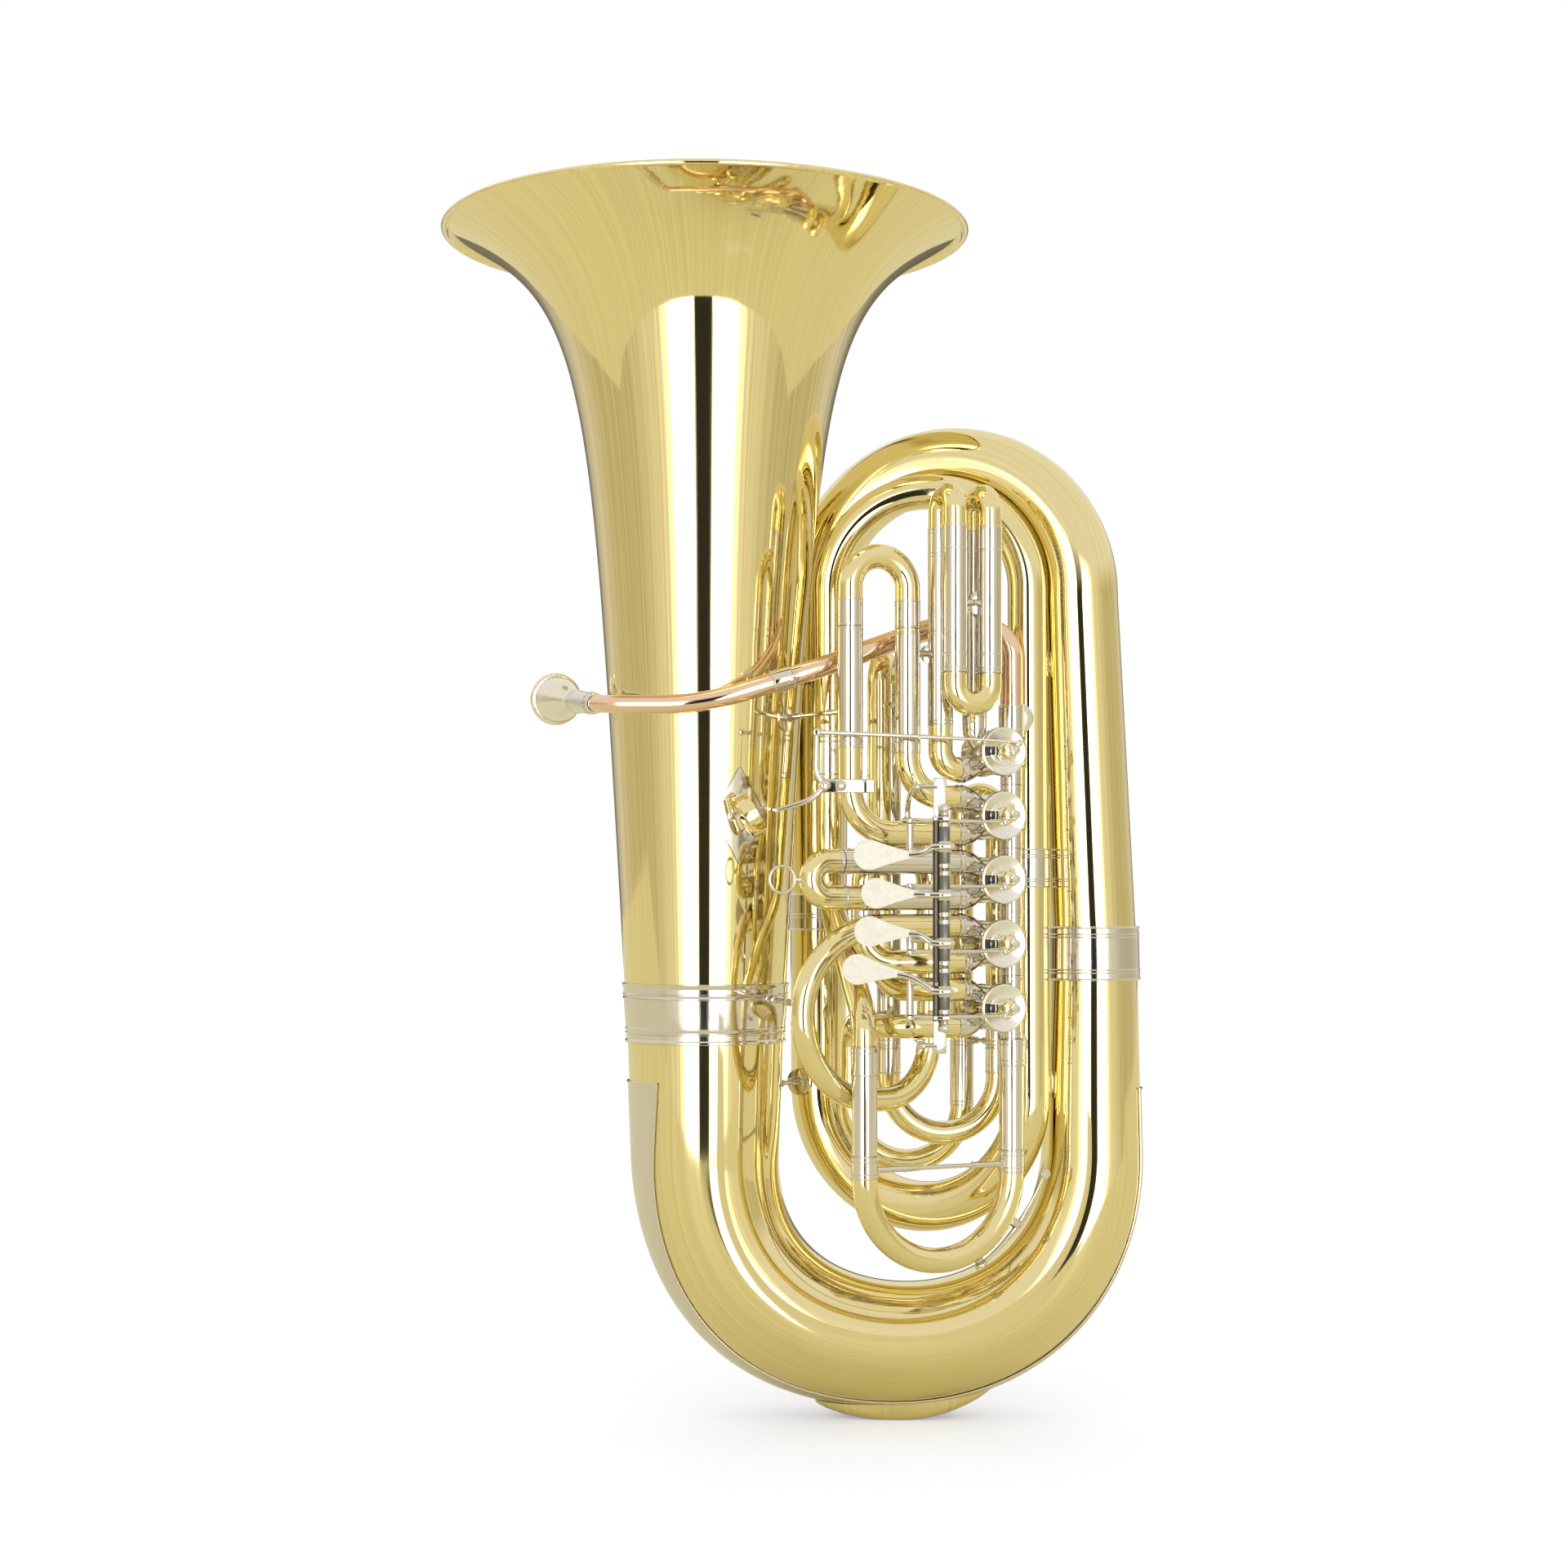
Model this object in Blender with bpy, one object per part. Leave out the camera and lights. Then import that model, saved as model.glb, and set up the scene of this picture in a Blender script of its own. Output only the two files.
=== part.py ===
"""A five-valve rotary contrabass tuba, standing bell up.

Metres, +Z up. The origin is the middle of the foot plate's flat underside, +X points to the player's
left when seen from the valve side, and the valve side faces -Y. Every tube is hollow. The wind way runs
mouthpiece, leadpipe, valves 5 1 2 3 4, main tuning slide, first branch, second top bow, third branch,
second bottom bow, inner branch, top bow, outer branch, bottom bow, bell.
"""

import math

import bmesh
import bpy
from mathutils import Matrix, Vector

MM = 0.001

# Driving dimensions, in millimetres.
LEG_X = 154.6             # bell axis and outer branch, either side of the middle
BOW_LEFT_R = 59.0         # the bottom bow narrows evenly round its half circle
BOW_RIGHT_R = 40.0
GUARD_TOP_Z = 262.0
GUARD_WALL = 1.2
GUARD_ROOM = 1.0            # between the bow's facets and the guard
BOW_CENTRE_Z = 212.4      # centre of the bottom bow's half circle
RIM_Z = 949.0
BELL_WALL = 1.3
BELL_JOINT_Z = 321.0      # the bell meets the bottom bow under its garland
BRANCH_JOINT_Z = 370.0
TOP_JOINT_Z = 655.0
INNER_LEG = (-63.3, 62.0)
FIRST_LEG = (-55.4, -15.0)
THIRD_LEG = (101.5, -27.0)
OUTER_TOP = (143.3, 0.0)
GAP = 0.3

VALVE_MAIN = (70.0, -62.0)            # the valve axes cross this vertical line
VALVE_YAW = math.radians(22.0)
VALVE_PITCH = 49.5
VALVE_TOP_Z = 527.0
PORT_Z = 13.9                         # loop outlets above and below a valve's axis
MAIN_LINE_U = -17.0                   # main line beside the casings, along the valve row's left
CASING_R = 18.9
CASING_BACK = -19.0
CAP_FRONT = 22.5
CAVITY_R = 16.4
STUB_END = 28.0

TUBE_R = 9.6                          # valve tubing outside
TUBE_WALL = 1.0
LEG_R = 7.4                           # slide leg, inside the outer slide tube
LEG_WALL = 0.8
SIDES = 8
MAIN_R = 8.3
SLIDE_R = 10.3                        # main tuning slide

AXLE = (25.4, -152.0)
BARREL_R = 6.4
AXLE_R = 2.6
SLEEVE_TOP_Z = 470.4
SLEEVE_PITCH = 36.2
PIN_N = 36.2                          # link rods run this far in front of the valve row
PIN_OFFSET = 5.5
POST = (3.3, -127.8)
THUMB_BALL = (-67.0, -131.0, 538.5)
THUMB_PIVOT = (-61.0, -126.0, 498.6)

NORMAL = Vector((math.sin(VALVE_YAW), -math.cos(VALVE_YAW), 0))
ALONG = Vector((-math.cos(VALVE_YAW), -math.sin(VALVE_YAW), 0))
UP = Vector((0, 0, 1))

FINISHES = {
    "brass": ((0.72, 0.53, 0.2), 0.12, 1.0),
    "nickel": ((0.68, 0.64, 0.56), 0.16, 1.0),
    "gold_brass": ((0.72, 0.4, 0.24), 0.14, 1.0),
    "silver": ((0.8, 0.78, 0.72), 0.1, 1.0),
    "enamel": ((0.86, 0.83, 0.74), 0.35, 0.0),
    "steel": ((0.6, 0.58, 0.54), 0.22, 1.0),
}


def clear_scene():
    for obj in list(bpy.data.objects):
        bpy.data.objects.remove(obj, do_unlink=True)


def finish(name, kind):
    """A material of the piece's own, with the finish's colour, roughness and metal."""
    colour, roughness, metal = FINISHES[kind]
    material = bpy.data.materials.new(name + "_" + kind)
    material.use_nodes = True
    shader = material.node_tree.nodes["Principled BSDF"]
    shader.inputs["Base Color"].default_value = (*colour, 1)
    shader.inputs["Roughness"].default_value = roughness
    shader.inputs["Metallic"].default_value = metal
    return material


def add_object(name, bm, kind=None, pivot=(0, 0, 0)):
    """Turns a bmesh in world millimetres into an object whose origin is at the pivot."""
    bmesh.ops.translate(bm, verts=bm.verts, vec=-Vector(pivot))
    bmesh.ops.scale(bm, verts=bm.verts, vec=(MM, MM, MM))
    bmesh.ops.recalc_face_normals(bm, faces=bm.faces)
    mesh = bpy.data.meshes.new(name)
    bm.to_mesh(mesh)
    bm.free()
    mesh.shade_smooth()
    mesh.set_sharp_from_angle(angle=math.radians(40))
    obj = bpy.data.objects.new(name, mesh)
    obj.location = Vector(pivot) * MM
    bpy.context.scene.collection.objects.link(obj)
    if kind:
        mesh.materials.append(finish(name, kind))
    return obj


def combine(obj, others, operation):
    """Joins or cuts the object with helper bmeshes, which stay in the scene as hidden wires."""
    for number, bm in enumerate(others):
        helper = add_object(f"{obj.name}_{operation.lower()}_{number}_{len(obj.modifiers)}", bm)
        helper.hide_render = True
        helper.display_type = "WIRE"
        modifier = obj.modifiers.new(f"{operation.lower()}_{number}", "BOOLEAN")
        modifier.operation = operation
        modifier.solver = "EXACT"
        modifier.object = helper
    return obj


def in_row(s, z, forward=0.0):
    """A point of the valve row's plane: s leftward from the valve line, forward to the player's hand."""
    return Vector((*VALVE_MAIN, z)) + ALONG * s + NORMAL * forward


def bend(corners, step=30):
    """Points along straight runs joined by round bends. A corner is (point, bend radius)."""
    points = [Vector(corners[0][0])]
    for (before, _), (corner, radius), (after, _) in zip(corners, corners[1:], corners[2:]):
        corner = Vector(corner)
        back = (Vector(before) - corner).normalized()
        ahead = (Vector(after) - corner).normalized()
        turn = math.pi - back.angle(ahead)
        reach = radius * math.tan(turn / 2)
        centre = corner + (back + ahead).normalized() * radius / math.cos(turn / 2)
        start = corner + back * reach - centre
        axis = start.cross(corner + ahead * reach - centre).normalized()
        count = max(2, round(math.degrees(turn) / step))
        for k in range(count + 1):
            point = centre + Matrix.Rotation(turn * k / count, 3, axis) @ start
            if (point - points[-1]).length > 0.05:
                points.append(point)
    last = Vector(corners[-1][0])
    if (points[-1] - last).length < 0.05:
        points.pop()
    points.append(last)
    return points


def lengths_along(points):
    total = [0.0]
    for a, b in zip(points, points[1:]):
        total.append(total[-1] + (b - a).length)
    return total


def tapered(points, *stops):
    """A radius for each point, from (fraction of the length, radius) stops."""
    along = lengths_along(points)
    radii = []
    for distance in along:
        share = distance / along[-1]
        for (low, r_low), (high, r_high) in zip(stops, stops[1:]):
            if share <= high + 1e-9:
                radii.append(r_low + (r_high - r_low) * (share - low) / (high - low))
                break
    return radii


def sweep(points, radii, wall=TUBE_WALL, sides=SIDES, across=None):
    """A tube along the points, hollow unless wall is 0, with open ends. One radius serves all points."""
    if isinstance(radii, (int, float)):
        radii = [radii] * len(points)
    bm = bmesh.new()
    tangents = []
    for k in range(len(points)):
        before = points[max(k - 1, 0)]
        after = points[min(k + 1, len(points) - 1)]
        if 0 < k < len(points) - 1:
            step_in = (points[k] - before).normalized()
            step_out = (after - points[k]).normalized()
            tangent = step_in + step_out
        else:
            tangent = after - before
        tangents.append(tangent.normalized())
    side = Vector(across) if across else tangents[0].orthogonal()
    rings = {"outer": [], "inner": []}
    for k, (point, tangent, radius) in enumerate(zip(points, tangents, radii)):
        if k:
            side = tangents[k - 1].rotation_difference(tangent) @ side
        side = (side - tangent * side.dot(tangent)).normalized()
        other = tangent.cross(side)
        for layer, r in (("outer", radius), ("inner", radius - wall)):
            if layer == "inner" and not wall:
                continue
            ring = []
            for j in range(sides):
                a = 2 * math.pi * (j + 0.5) / sides
                ring.append(bm.verts.new(point + (side * math.cos(a) + other * math.sin(a)) * r))
            rings[layer].append(ring)
    for layer in rings.values():
        for ring_a, ring_b in zip(layer, layer[1:]):
            for j in range(sides):
                bm.faces.new((ring_a[j], ring_a[j - 1], ring_b[j - 1], ring_b[j]))
    for end in (0, -1):
        outer = rings["outer"][end]
        if wall:
            inner = rings["inner"][end]
            for j in range(sides):
                bm.faces.new((outer[j], outer[j - 1], inner[j - 1], inner[j]))
        else:
            bm.faces.new(outer)
    return bm


def stepped(points, leg_points, leg_radius, body_radius):
    """Adds narrow slide legs at both ends of a bow: the points and radii of the whole slide."""
    first, last = leg_points
    full = [Vector(first), points[0], *points, points[-1], Vector(last)]
    nudge_in = (points[0] - Vector(first)).normalized() * 0.02
    nudge_out = (Vector(last) - points[-1]).normalized() * 0.02
    full[1] = points[0] - nudge_in
    full[-2] = points[-1] + nudge_out
    radii = [leg_radius, leg_radius, *[body_radius] * len(points), leg_radius, leg_radius]
    return full, radii


def rod(start, end, radius, sides=8):
    return sweep([Vector(start), Vector(end)], [radius, radius], wall=0, sides=sides)


def block(centre, size, yaw=0.0):
    bm = bmesh.new()
    bmesh.ops.create_cube(bm, size=1)
    bmesh.ops.scale(bm, verts=bm.verts, vec=size)
    bmesh.ops.rotate(bm, verts=bm.verts, matrix=Matrix.Rotation(yaw, 3, "Z"))
    bmesh.ops.translate(bm, verts=bm.verts, vec=Vector(centre))
    return bm


def tube(name, points, radii, kind="brass", wall=TUBE_WALL, sides=SIDES, across=None, pivot=(0, 0, 0)):
    return add_object(name, sweep(points, radii, wall, sides, across), kind, pivot)


def bell_radius(z):
    """Outside radius of the bell: a slow taper and two flares that grow towards the rim."""
    below = RIM_Z - z
    taper = 57.4 + 0.0544 * (z - BOW_CENTRE_Z)
    return taper + 53.7 * math.exp(-below / 32) + 58.8 * math.exp(-below / 90)


def build_bell():
    heights = [BELL_JOINT_Z, 480, 640, 730, 800, 850, 885, 910, 930, RIM_Z]
    points = [Vector((-LEG_X, 0, z)) for z in heights]
    radii = [bell_radius(z) for z in heights]
    radii[-1] = 210.0
    tube("bell", points, radii, wall=BELL_WALL, sides=28)
    band = [Vector((-LEG_X, 0, z)) for z in (297, 345)]
    tube("bell_garland", band, [65.3, 66.9], "nickel", wall=1.2, sides=28, across=(1, 0, 0))


def bottom_bow_path():
    turn = [(-LEG_X, 0, BELL_JOINT_Z - GAP), (-LEG_X, 0, BOW_CENTRE_Z - LEG_X),
            (LEG_X, 0, BOW_CENTRE_Z - LEG_X), (LEG_X, 0, BRANCH_JOINT_Z)]
    return bend([(turn[0], 0), (turn[1], LEG_X), (turn[2], LEG_X), (turn[3], 0)], 18)


def bottom_bow_radii(points, extra=0.0):
    """Radii along the bottom bow: the bell's taper, the half circle's, then the outer branch's."""
    radii = []
    for point in points:
        climb = max(point.z - BOW_CENTRE_Z, 0.0)
        if climb and point.x < 0:
            r = BOW_LEFT_R + 0.035 * climb
        elif climb:
            r = BOW_RIGHT_R - 0.0235 * climb
        else:
            share = math.atan2(point.z - BOW_CENTRE_Z, point.x) / math.pi % 2 - 1
            r = BOW_LEFT_R + (BOW_RIGHT_R - BOW_LEFT_R) * share
        radii.append(r + extra)
    return radii


def build_outer_bows():
    points = bottom_bow_path()
    tube("bottom_bow", points, bottom_bow_radii(points), wall=1.2, sides=16)
    build_bow_guard()
    band = [Vector((LEG_X, 0, 348.4)), Vector((LEG_X - 0.4, 0, 391.6))]
    tube("branch_garland", band, [39.4, 38.6], "nickel", wall=1.1, sides=16, across=(1, 0, 0))
    foot = Vector((LEG_X, 0, BRANCH_JOINT_Z + GAP))
    head = Vector((*OUTER_TOP, TOP_JOINT_Z - GAP))
    leg = [foot, foot + UP * 3, head - UP * 3, head]
    tube("outer_branch", leg, [36.2, 36.2, 32.4, 32.4], wall=1.1, sides=12, across=(1, 0, 0))
    start = Vector((*OUTER_TOP, TOP_JOINT_Z))
    end = Vector((*INNER_LEG, TOP_JOINT_Z))
    half = (end - start).length / 2
    lift = UP * (half + 3)
    points = bend([(start, 0), (start + lift, half), (end + lift, half), (end, 0)], 22.5)
    tube("top_bow", points, tapered(points, (0, 32.3), (0.5, 29.6), (1, 25.0)), sides=12)


def build_bow_guard():
    """Nickel shell over the outer crown of the bottom bow, widest on the bell's side."""
    path = [point for point in bottom_bow_path() if point.z < BOW_CENTRE_Z + 1]
    path = [Vector((-LEG_X, 0, GUARD_TOP_Z)), *path, Vector((LEG_X, 0, GUARD_TOP_Z))]
    spread = 4
    layers = []
    for extra in (GUARD_ROOM, GUARD_ROOM + GUARD_WALL):
        grid = []
        for k, (point, radius) in enumerate(zip(path, bottom_bow_radii(path, extra))):
            outward = Vector((point.x, 0, min(point.z - BOW_CENTRE_Z, 0))).normalized()
            share = k / (len(path) - 1)
            reach = math.radians(24 + 30 * (1 - share) ** 2)
            row = []
            for j in range(-spread, spread + 1):
                b = reach * j / spread
                row.append(bm_point(point, outward, b, radius))
            grid.append(row)
        layers.append(grid)
    add_object("bow_guard", shell(*layers), "nickel")


def bm_point(point, outward, angle, radius):
    return point + (outward * math.cos(angle) + Vector((0, 1, 0)) * math.sin(angle)) * radius


def shell(inner, outer):
    """A closed sheet between two equal grids of points."""
    bm = bmesh.new()
    inner, outer = ([[bm.verts.new(p) for p in row] for row in grid] for grid in (inner, outer))
    rows = len(inner)
    columns = len(inner[0])
    for grid in (inner, outer):
        for k in range(rows - 1):
            for j in range(columns - 1):
                bm.faces.new((grid[k][j], grid[k][j + 1], grid[k + 1][j + 1], grid[k + 1][j]))
    for k in range(rows - 1):
        for j in (0, columns - 1):
            bm.faces.new((inner[k][j], outer[k][j], outer[k + 1][j], inner[k + 1][j]))
    for k in (0, rows - 1):
        for j in range(columns - 1):
            bm.faces.new((inner[k][j], outer[k][j], outer[k][j + 1], inner[k][j + 1]))
    return bm


def build_foot_plate():
    """Brass cap under the bow, hollowed to follow the guard and flat underneath."""
    top_z = 15.0
    length = 66.0
    width = 22.0
    bm = bmesh.new()
    rows = []
    for z, grow in ((0.0, 0.72), (3.0, 0.9), (top_z, 1.0)):
        row = []
        for k in range(20):
            a = 2 * math.pi * k / 20
            row.append(bm.verts.new((length * grow * math.cos(a), width * grow * math.sin(a), z)))
        rows.append(row)
    for low, high in zip(rows, rows[1:]):
        for j in range(20):
            bm.faces.new((low[j], low[j - 1], high[j - 1], high[j]))
    bm.faces.new(rows[0])
    bm.faces.new(rows[-1])
    plate = add_object("foot_plate", bm, "brass")
    crown = bottom_bow_path()
    room = GUARD_ROOM + GUARD_WALL + 1.4
    combine(plate, [sweep(crown, bottom_bow_radii(crown, room), wall=0, sides=16)], "DIFFERENCE")


def build_inner_branches():
    third_top = Vector((THIRD_LEG[0] - 1.0, THIRD_LEG[1], TOP_JOINT_Z))
    third_foot = Vector((*THIRD_LEG, 262))
    leg = [third_foot + UP * GAP, third_top - UP * GAP]
    tube("third_branch", leg, [16.8, 15.1], sides=10, across=(1, 0, 0))
    inner_foot = Vector((*INNER_LEG, 262))
    half = (inner_foot - third_foot).length / 2
    drop = UP * (half + 3)
    points = bend([(third_foot, 0), (third_foot - drop, half), (inner_foot - drop, half), (inner_foot, 0)], 22.5)
    tube("second_bottom_bow", points, tapered(points, (0, 17.0), (0.5, 20.2), (1, 22.3)), sides=12)
    leg = [inner_foot + UP * GAP, Vector((*INNER_LEG, TOP_JOINT_Z - GAP))]
    tube("inner_branch", leg, [22.5, 24.8], sides=12, across=(1, 0, 0))
    first_top = Vector((*FIRST_LEG, TOP_JOINT_Z))
    half = (first_top - third_top).length / 2
    lift = UP * (half + 3)
    points = bend([(third_top, 0), (third_top + lift, half), (first_top + lift, half), (first_top, 0)], 22.5)
    tube("second_top_bow", points, tapered(points, (0, 15.0), (1, 12.3)), sides=10)
    slide_top = in_row(112, 301.5, 9)
    turn = Vector((*FIRST_LEG, 414))
    route = [(slide_top, 0), (slide_top + UP * 20, 34), (turn, 40), (first_top - UP * GAP, 0)]
    points = bend(route)
    tube("first_branch", points, tapered(points, (0, SLIDE_R), (0.4, 10.6), (1, 12.2)))


def valve_height(number):
    """Valves 5, 1, 2, 3 and 4 stand in this order from the top down."""
    return VALVE_TOP_Z - VALVE_PITCH * (0 if number == 5 else number)


def on_axis(number, forward):
    return in_row(0, valve_height(number), forward)


def build_casing(number):
    z = valve_height(number)
    name = f"valve_casing_{number}"
    cylinder = sweep([on_axis(number, CASING_BACK), on_axis(number, CAP_FRONT)], [CASING_R] * 2, 0, 16, UP)
    casing = add_object(name, cylinder, "nickel")
    half = VALVE_PITCH / 2 - GAP / 2
    line = [in_row(MAIN_LINE_U, z - half), in_row(MAIN_LINE_U, z + half)]
    ports = [(in_row(6, z - PORT_Z), in_row(STUB_END - GAP, z - PORT_Z))]
    if number == 5:
        ports.append((in_row(15, z + 4), in_row(15, z + 27)))
    else:
        ports.append((in_row(6, z + PORT_Z), in_row(STUB_END - GAP, z + PORT_Z)))
    outside = [rod(*line, MAIN_R, SIDES)]
    outside += [rod(a, b, TUBE_R, SIDES) for a, b in ports]
    combine(casing, outside, "UNION")
    inside = [sweep([on_axis(number, -16.5), on_axis(number, 16.5)], [CAVITY_R] * 2, 0, 14, UP)]
    inside.append(rod(on_axis(number, 10), on_axis(number, 30), 3.6, 6))
    inside.append(rod(line[0] - UP, line[1] + UP, MAIN_R - 1, SIDES))
    for a, b in ports:
        inward = (b - a).normalized()
        inside.append(rod(a + inward * 1.7, b + inward, TUBE_R - 1, SIDES))
    combine(casing, inside, "DIFFERENCE")


def build_rotor(number):
    """Rotor with its two passages, spindle and stop arm. It turns about the valve's axis."""
    z = valve_height(number)
    name = f"rotor_{number}"
    body = sweep([on_axis(number, -16), on_axis(number, 16)], [15.6, 15.6], 0, 14, UP)
    rotor = add_object(name, body, "nickel")
    pin_z = PIN_OFFSET if number == 5 else -PIN_OFFSET
    pin_s = -PIN_OFFSET if number == 5 else PIN_OFFSET
    arm_centre = in_row(pin_s * 0.2, z + pin_z * 0.2, 31.5)
    arm_end = in_row(pin_s * 1.25, z + pin_z * 1.25, 31.5)
    spindle = rod(on_axis(number, 14), on_axis(number, 42), 2.9, 6)
    hub = rod(on_axis(number, 24.5), on_axis(number, 33), 5.0, SIDES)
    arm = rod(arm_centre, arm_end, 1.6, 6)
    combine(rotor, [spindle, hub, arm], "UNION")
    scallops = [rod(in_row(s, z - 20), in_row(s, z + 20), 8.6, SIDES) for s in (17, -17)]
    combine(rotor, scallops, "DIFFERENCE")


def u_slide(name, first, last, mouth, outward, arc_reach, leg_inside, kind="brass"):
    """A U-shaped slide. Its legs start inside the outer tubes and its bow turns at arc_reach."""
    first = Vector(first)
    last = Vector(last)
    outward = Vector(outward)
    half = (last - first).length / 2
    far = outward * (arc_reach + half)
    near = outward * mouth
    corners = [(first + near, 0), (first + far, half), (last + far, half), (last + near, 0)]
    bow = bend(corners)
    legs = (first + outward * leg_inside, last + outward * leg_inside)
    points, radii = stepped(bow, legs, LEG_R, TUBE_R)
    tube(name, points, radii, kind, wall=LEG_WALL)


def build_valve_1():
    z = valve_height(1)
    left = in_row(120, 0)
    right = in_row(72, 0)
    lower = [(in_row(STUB_END, z - PORT_Z), 0), (in_row(120, z - PORT_Z), 34), (left + UP * 620, 0)]
    upper = [(in_row(STUB_END, z + PORT_Z), 0), (in_row(72, z + PORT_Z), 31), (right + UP * 620, 0)]
    tube("valve_1_lower_tube", bend(lower), TUBE_R)
    tube("valve_1_upper_tube", bend(upper), TUBE_R)
    u_slide("valve_slide_1", left, right, 620.6, UP, 651, 560)


def build_valve_2():
    z = valve_height(2)
    for name, side, end in (("upper", 1, 127.0), ("lower", -1, 108.0)):
        points = [in_row(STUB_END, z + side * PORT_Z), in_row(end, z + side * PORT_Z)]
        tube(f"valve_2_{name}_tube", points, TUBE_R, across=UP)
    upper = in_row(0, z + PORT_Z)
    lower = in_row(0, z - PORT_Z)
    corners = [(upper + ALONG * 127.6, 0), (upper + ALONG * 151.9, 13.9),
               (lower + ALONG * 151.9, 13.9), (lower + ALONG * 108.6, 0)]
    points, radii = stepped(bend(corners), (upper + ALONG * 90, lower + ALONG * 72), LEG_R, TUBE_R)
    slide = tube("valve_slide_2", points, radii, wall=LEG_WALL)
    ring_centre = in_row(175.6, z - 0.3)
    ring = []
    for k in range(13):
        a = math.radians(30 * k + 180)
        ring.append(ring_centre + ALONG * (10.0 * math.cos(a)) + UP * (10.0 * math.sin(a)))
    hook = sweep(ring[:-1], 1.3, wall=0, sides=6)
    closer = rod(ring[-2].lerp(ring[-3], 0.2), ring[0].lerp(ring[1], 0.2), 1.25, 6)
    stem = rod(in_row(160.6, z - 0.3), in_row(166.6, z - 0.3), 1.6, 6)
    combine(slide, [stem, hook, closer], "UNION")


def build_valve_3():
    z = valve_height(3)
    rise = in_row(40, 0, -30)
    fall = in_row(100, 0, -20)
    bottom_z = 258.5
    mouth_z = 415.0
    upper = [(in_row(STUB_END, z + PORT_Z), 0), (in_row(159, z + PORT_Z), 66.9),
             (in_row(159, bottom_z), 66.9), (rise + UP * bottom_z, 44), (rise + UP * mouth_z, 0)]
    lower = [(in_row(STUB_END, z - PORT_Z), 0), (in_row(42, z - PORT_Z), 30),
             (fall + UP * (z - PORT_Z), 22), (fall + UP * mouth_z, 0)]
    tube("valve_3_upper_tube", bend(upper), TUBE_R - 0.3)
    tube("valve_3_lower_tube", bend(lower), TUBE_R - 0.3)
    u_slide("valve_slide_3", fall, rise, mouth_z + 0.6, UP, 424, 394)


def build_valve_4():
    z = valve_height(4)
    up_leg = in_row(76, 0, -44)
    down_leg = Vector((-8.4, -16, 0))
    far_leg = Vector((78.7, -8, 0))
    back_leg = Vector((51.6, 13, 0))
    left_leg = Vector((-37, 13, 0))
    mouth_z = 296.0
    bow_z = 582.0
    half = (down_leg - up_leg).length / 2
    top = UP * (bow_z + half)
    upper = [(in_row(STUB_END, z + PORT_Z), 0), (in_row(38, z + PORT_Z), 14), (up_leg + UP * (z + PORT_Z), 24),
             (up_leg + top, half), (down_leg + top, half), (down_leg + UP * mouth_z, 0)]
    tube("valve_4_upper_tube", bend(upper), TUBE_R - 0.3)
    reach = (back_leg - left_leg).length / 2
    turn = (far_leg - back_leg).length / 2
    crest = UP * (480 + turn)
    base = UP * (247 - reach)
    crossing = in_row(88, z - PORT_Z)
    lower = [(far_leg + UP * mouth_z, 0), (far_leg + crest, turn), (back_leg + crest, turn),
             (back_leg + base, reach), (left_leg + base, reach), (left_leg + UP * (z - PORT_Z), 22),
             (crossing, 22), (in_row(STUB_END, z - PORT_Z), 0)]
    tube("valve_4_lower_tube", bend(lower), TUBE_R - 0.3)
    u_slide("valve_slide_4", down_leg, far_leg, 0.6 - mouth_z, -UP, -271, -32 - mouth_z)


def build_valve_5():
    z = valve_height(5)
    top_z = 733.0 - TUBE_R
    mouth_z = 586.0
    for name, s, start, radius in (("lower", 44, z - PORT_Z, 15), ("upper", 15, z + 27.3, 0)):
        rear = in_row(s, 0)
        front = in_row(s, 0, 26)
        crest = UP * top_z
        route = [(rear + crest, 13), (front + crest, 13), (front + UP * mouth_z, 0)]
        if name == "lower":
            route = [(in_row(STUB_END, start), 0), (rear + UP * start, radius), *route]
        else:
            route = [(rear + UP * start, 0), *route]
        tube(f"valve_5_{name}_tube", bend(route, 30), TUBE_R - 0.2)
    u_slide("valve_slide_5", in_row(44, 0, 26), in_row(15, 0, 26), 0.6 - mouth_z, -UP, -577, -64 - mouth_z)


def build_main_slide():
    left = in_row(112, 0, 9)
    right = in_row(MAIN_LINE_U, 0)
    foot = valve_height(4) - VALVE_PITCH / 2
    tube("main_slide_left_tube", [left + UP * 218.5, left + UP * 301.2], SLIDE_R, "nickel", across=(1, 0, 0))
    tube("main_slide_right_tube", [right + UP * 218.5, right + UP * 282, right + UP * (foot - GAP)],
         [SLIDE_R, SLIDE_R, MAIN_R + 0.4], "nickel", across=(1, 0, 0))
    half = (right - left).length / 2
    turn = UP * (199.7 - half)
    corners = [(left + UP * 218, 0), (left + turn, half), (right + turn, half), (right + UP * 218, 0)]
    bow = bend(corners, 18)
    points, radii = stepped(bow, (left + UP * 278, right + UP * 272), SLIDE_R - 1.9, SLIDE_R)
    slide = tube("main_tuning_slide", points, radii, wall=LEG_WALL)
    beam = (right - left).normalized()
    inset = SLIDE_R - 0.4
    brace = rod(left + UP * 204 + beam * inset, right + UP * 204 - beam * inset, 2.6, 8)
    combine(slide, [brace], "UNION")


def main_slide_corner(angle):
    """A point of the tuning bow's outer side, by the angle below the right-hand leg."""
    left = in_row(112, 199.7, 9)
    right = in_row(MAIN_LINE_U, 199.7)
    half = (right - left).length / 2
    beam = (right - left).normalized()
    outward = beam * math.cos(angle) - UP * math.sin(angle)
    return (left + right) / 2 + outward * half, outward


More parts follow.
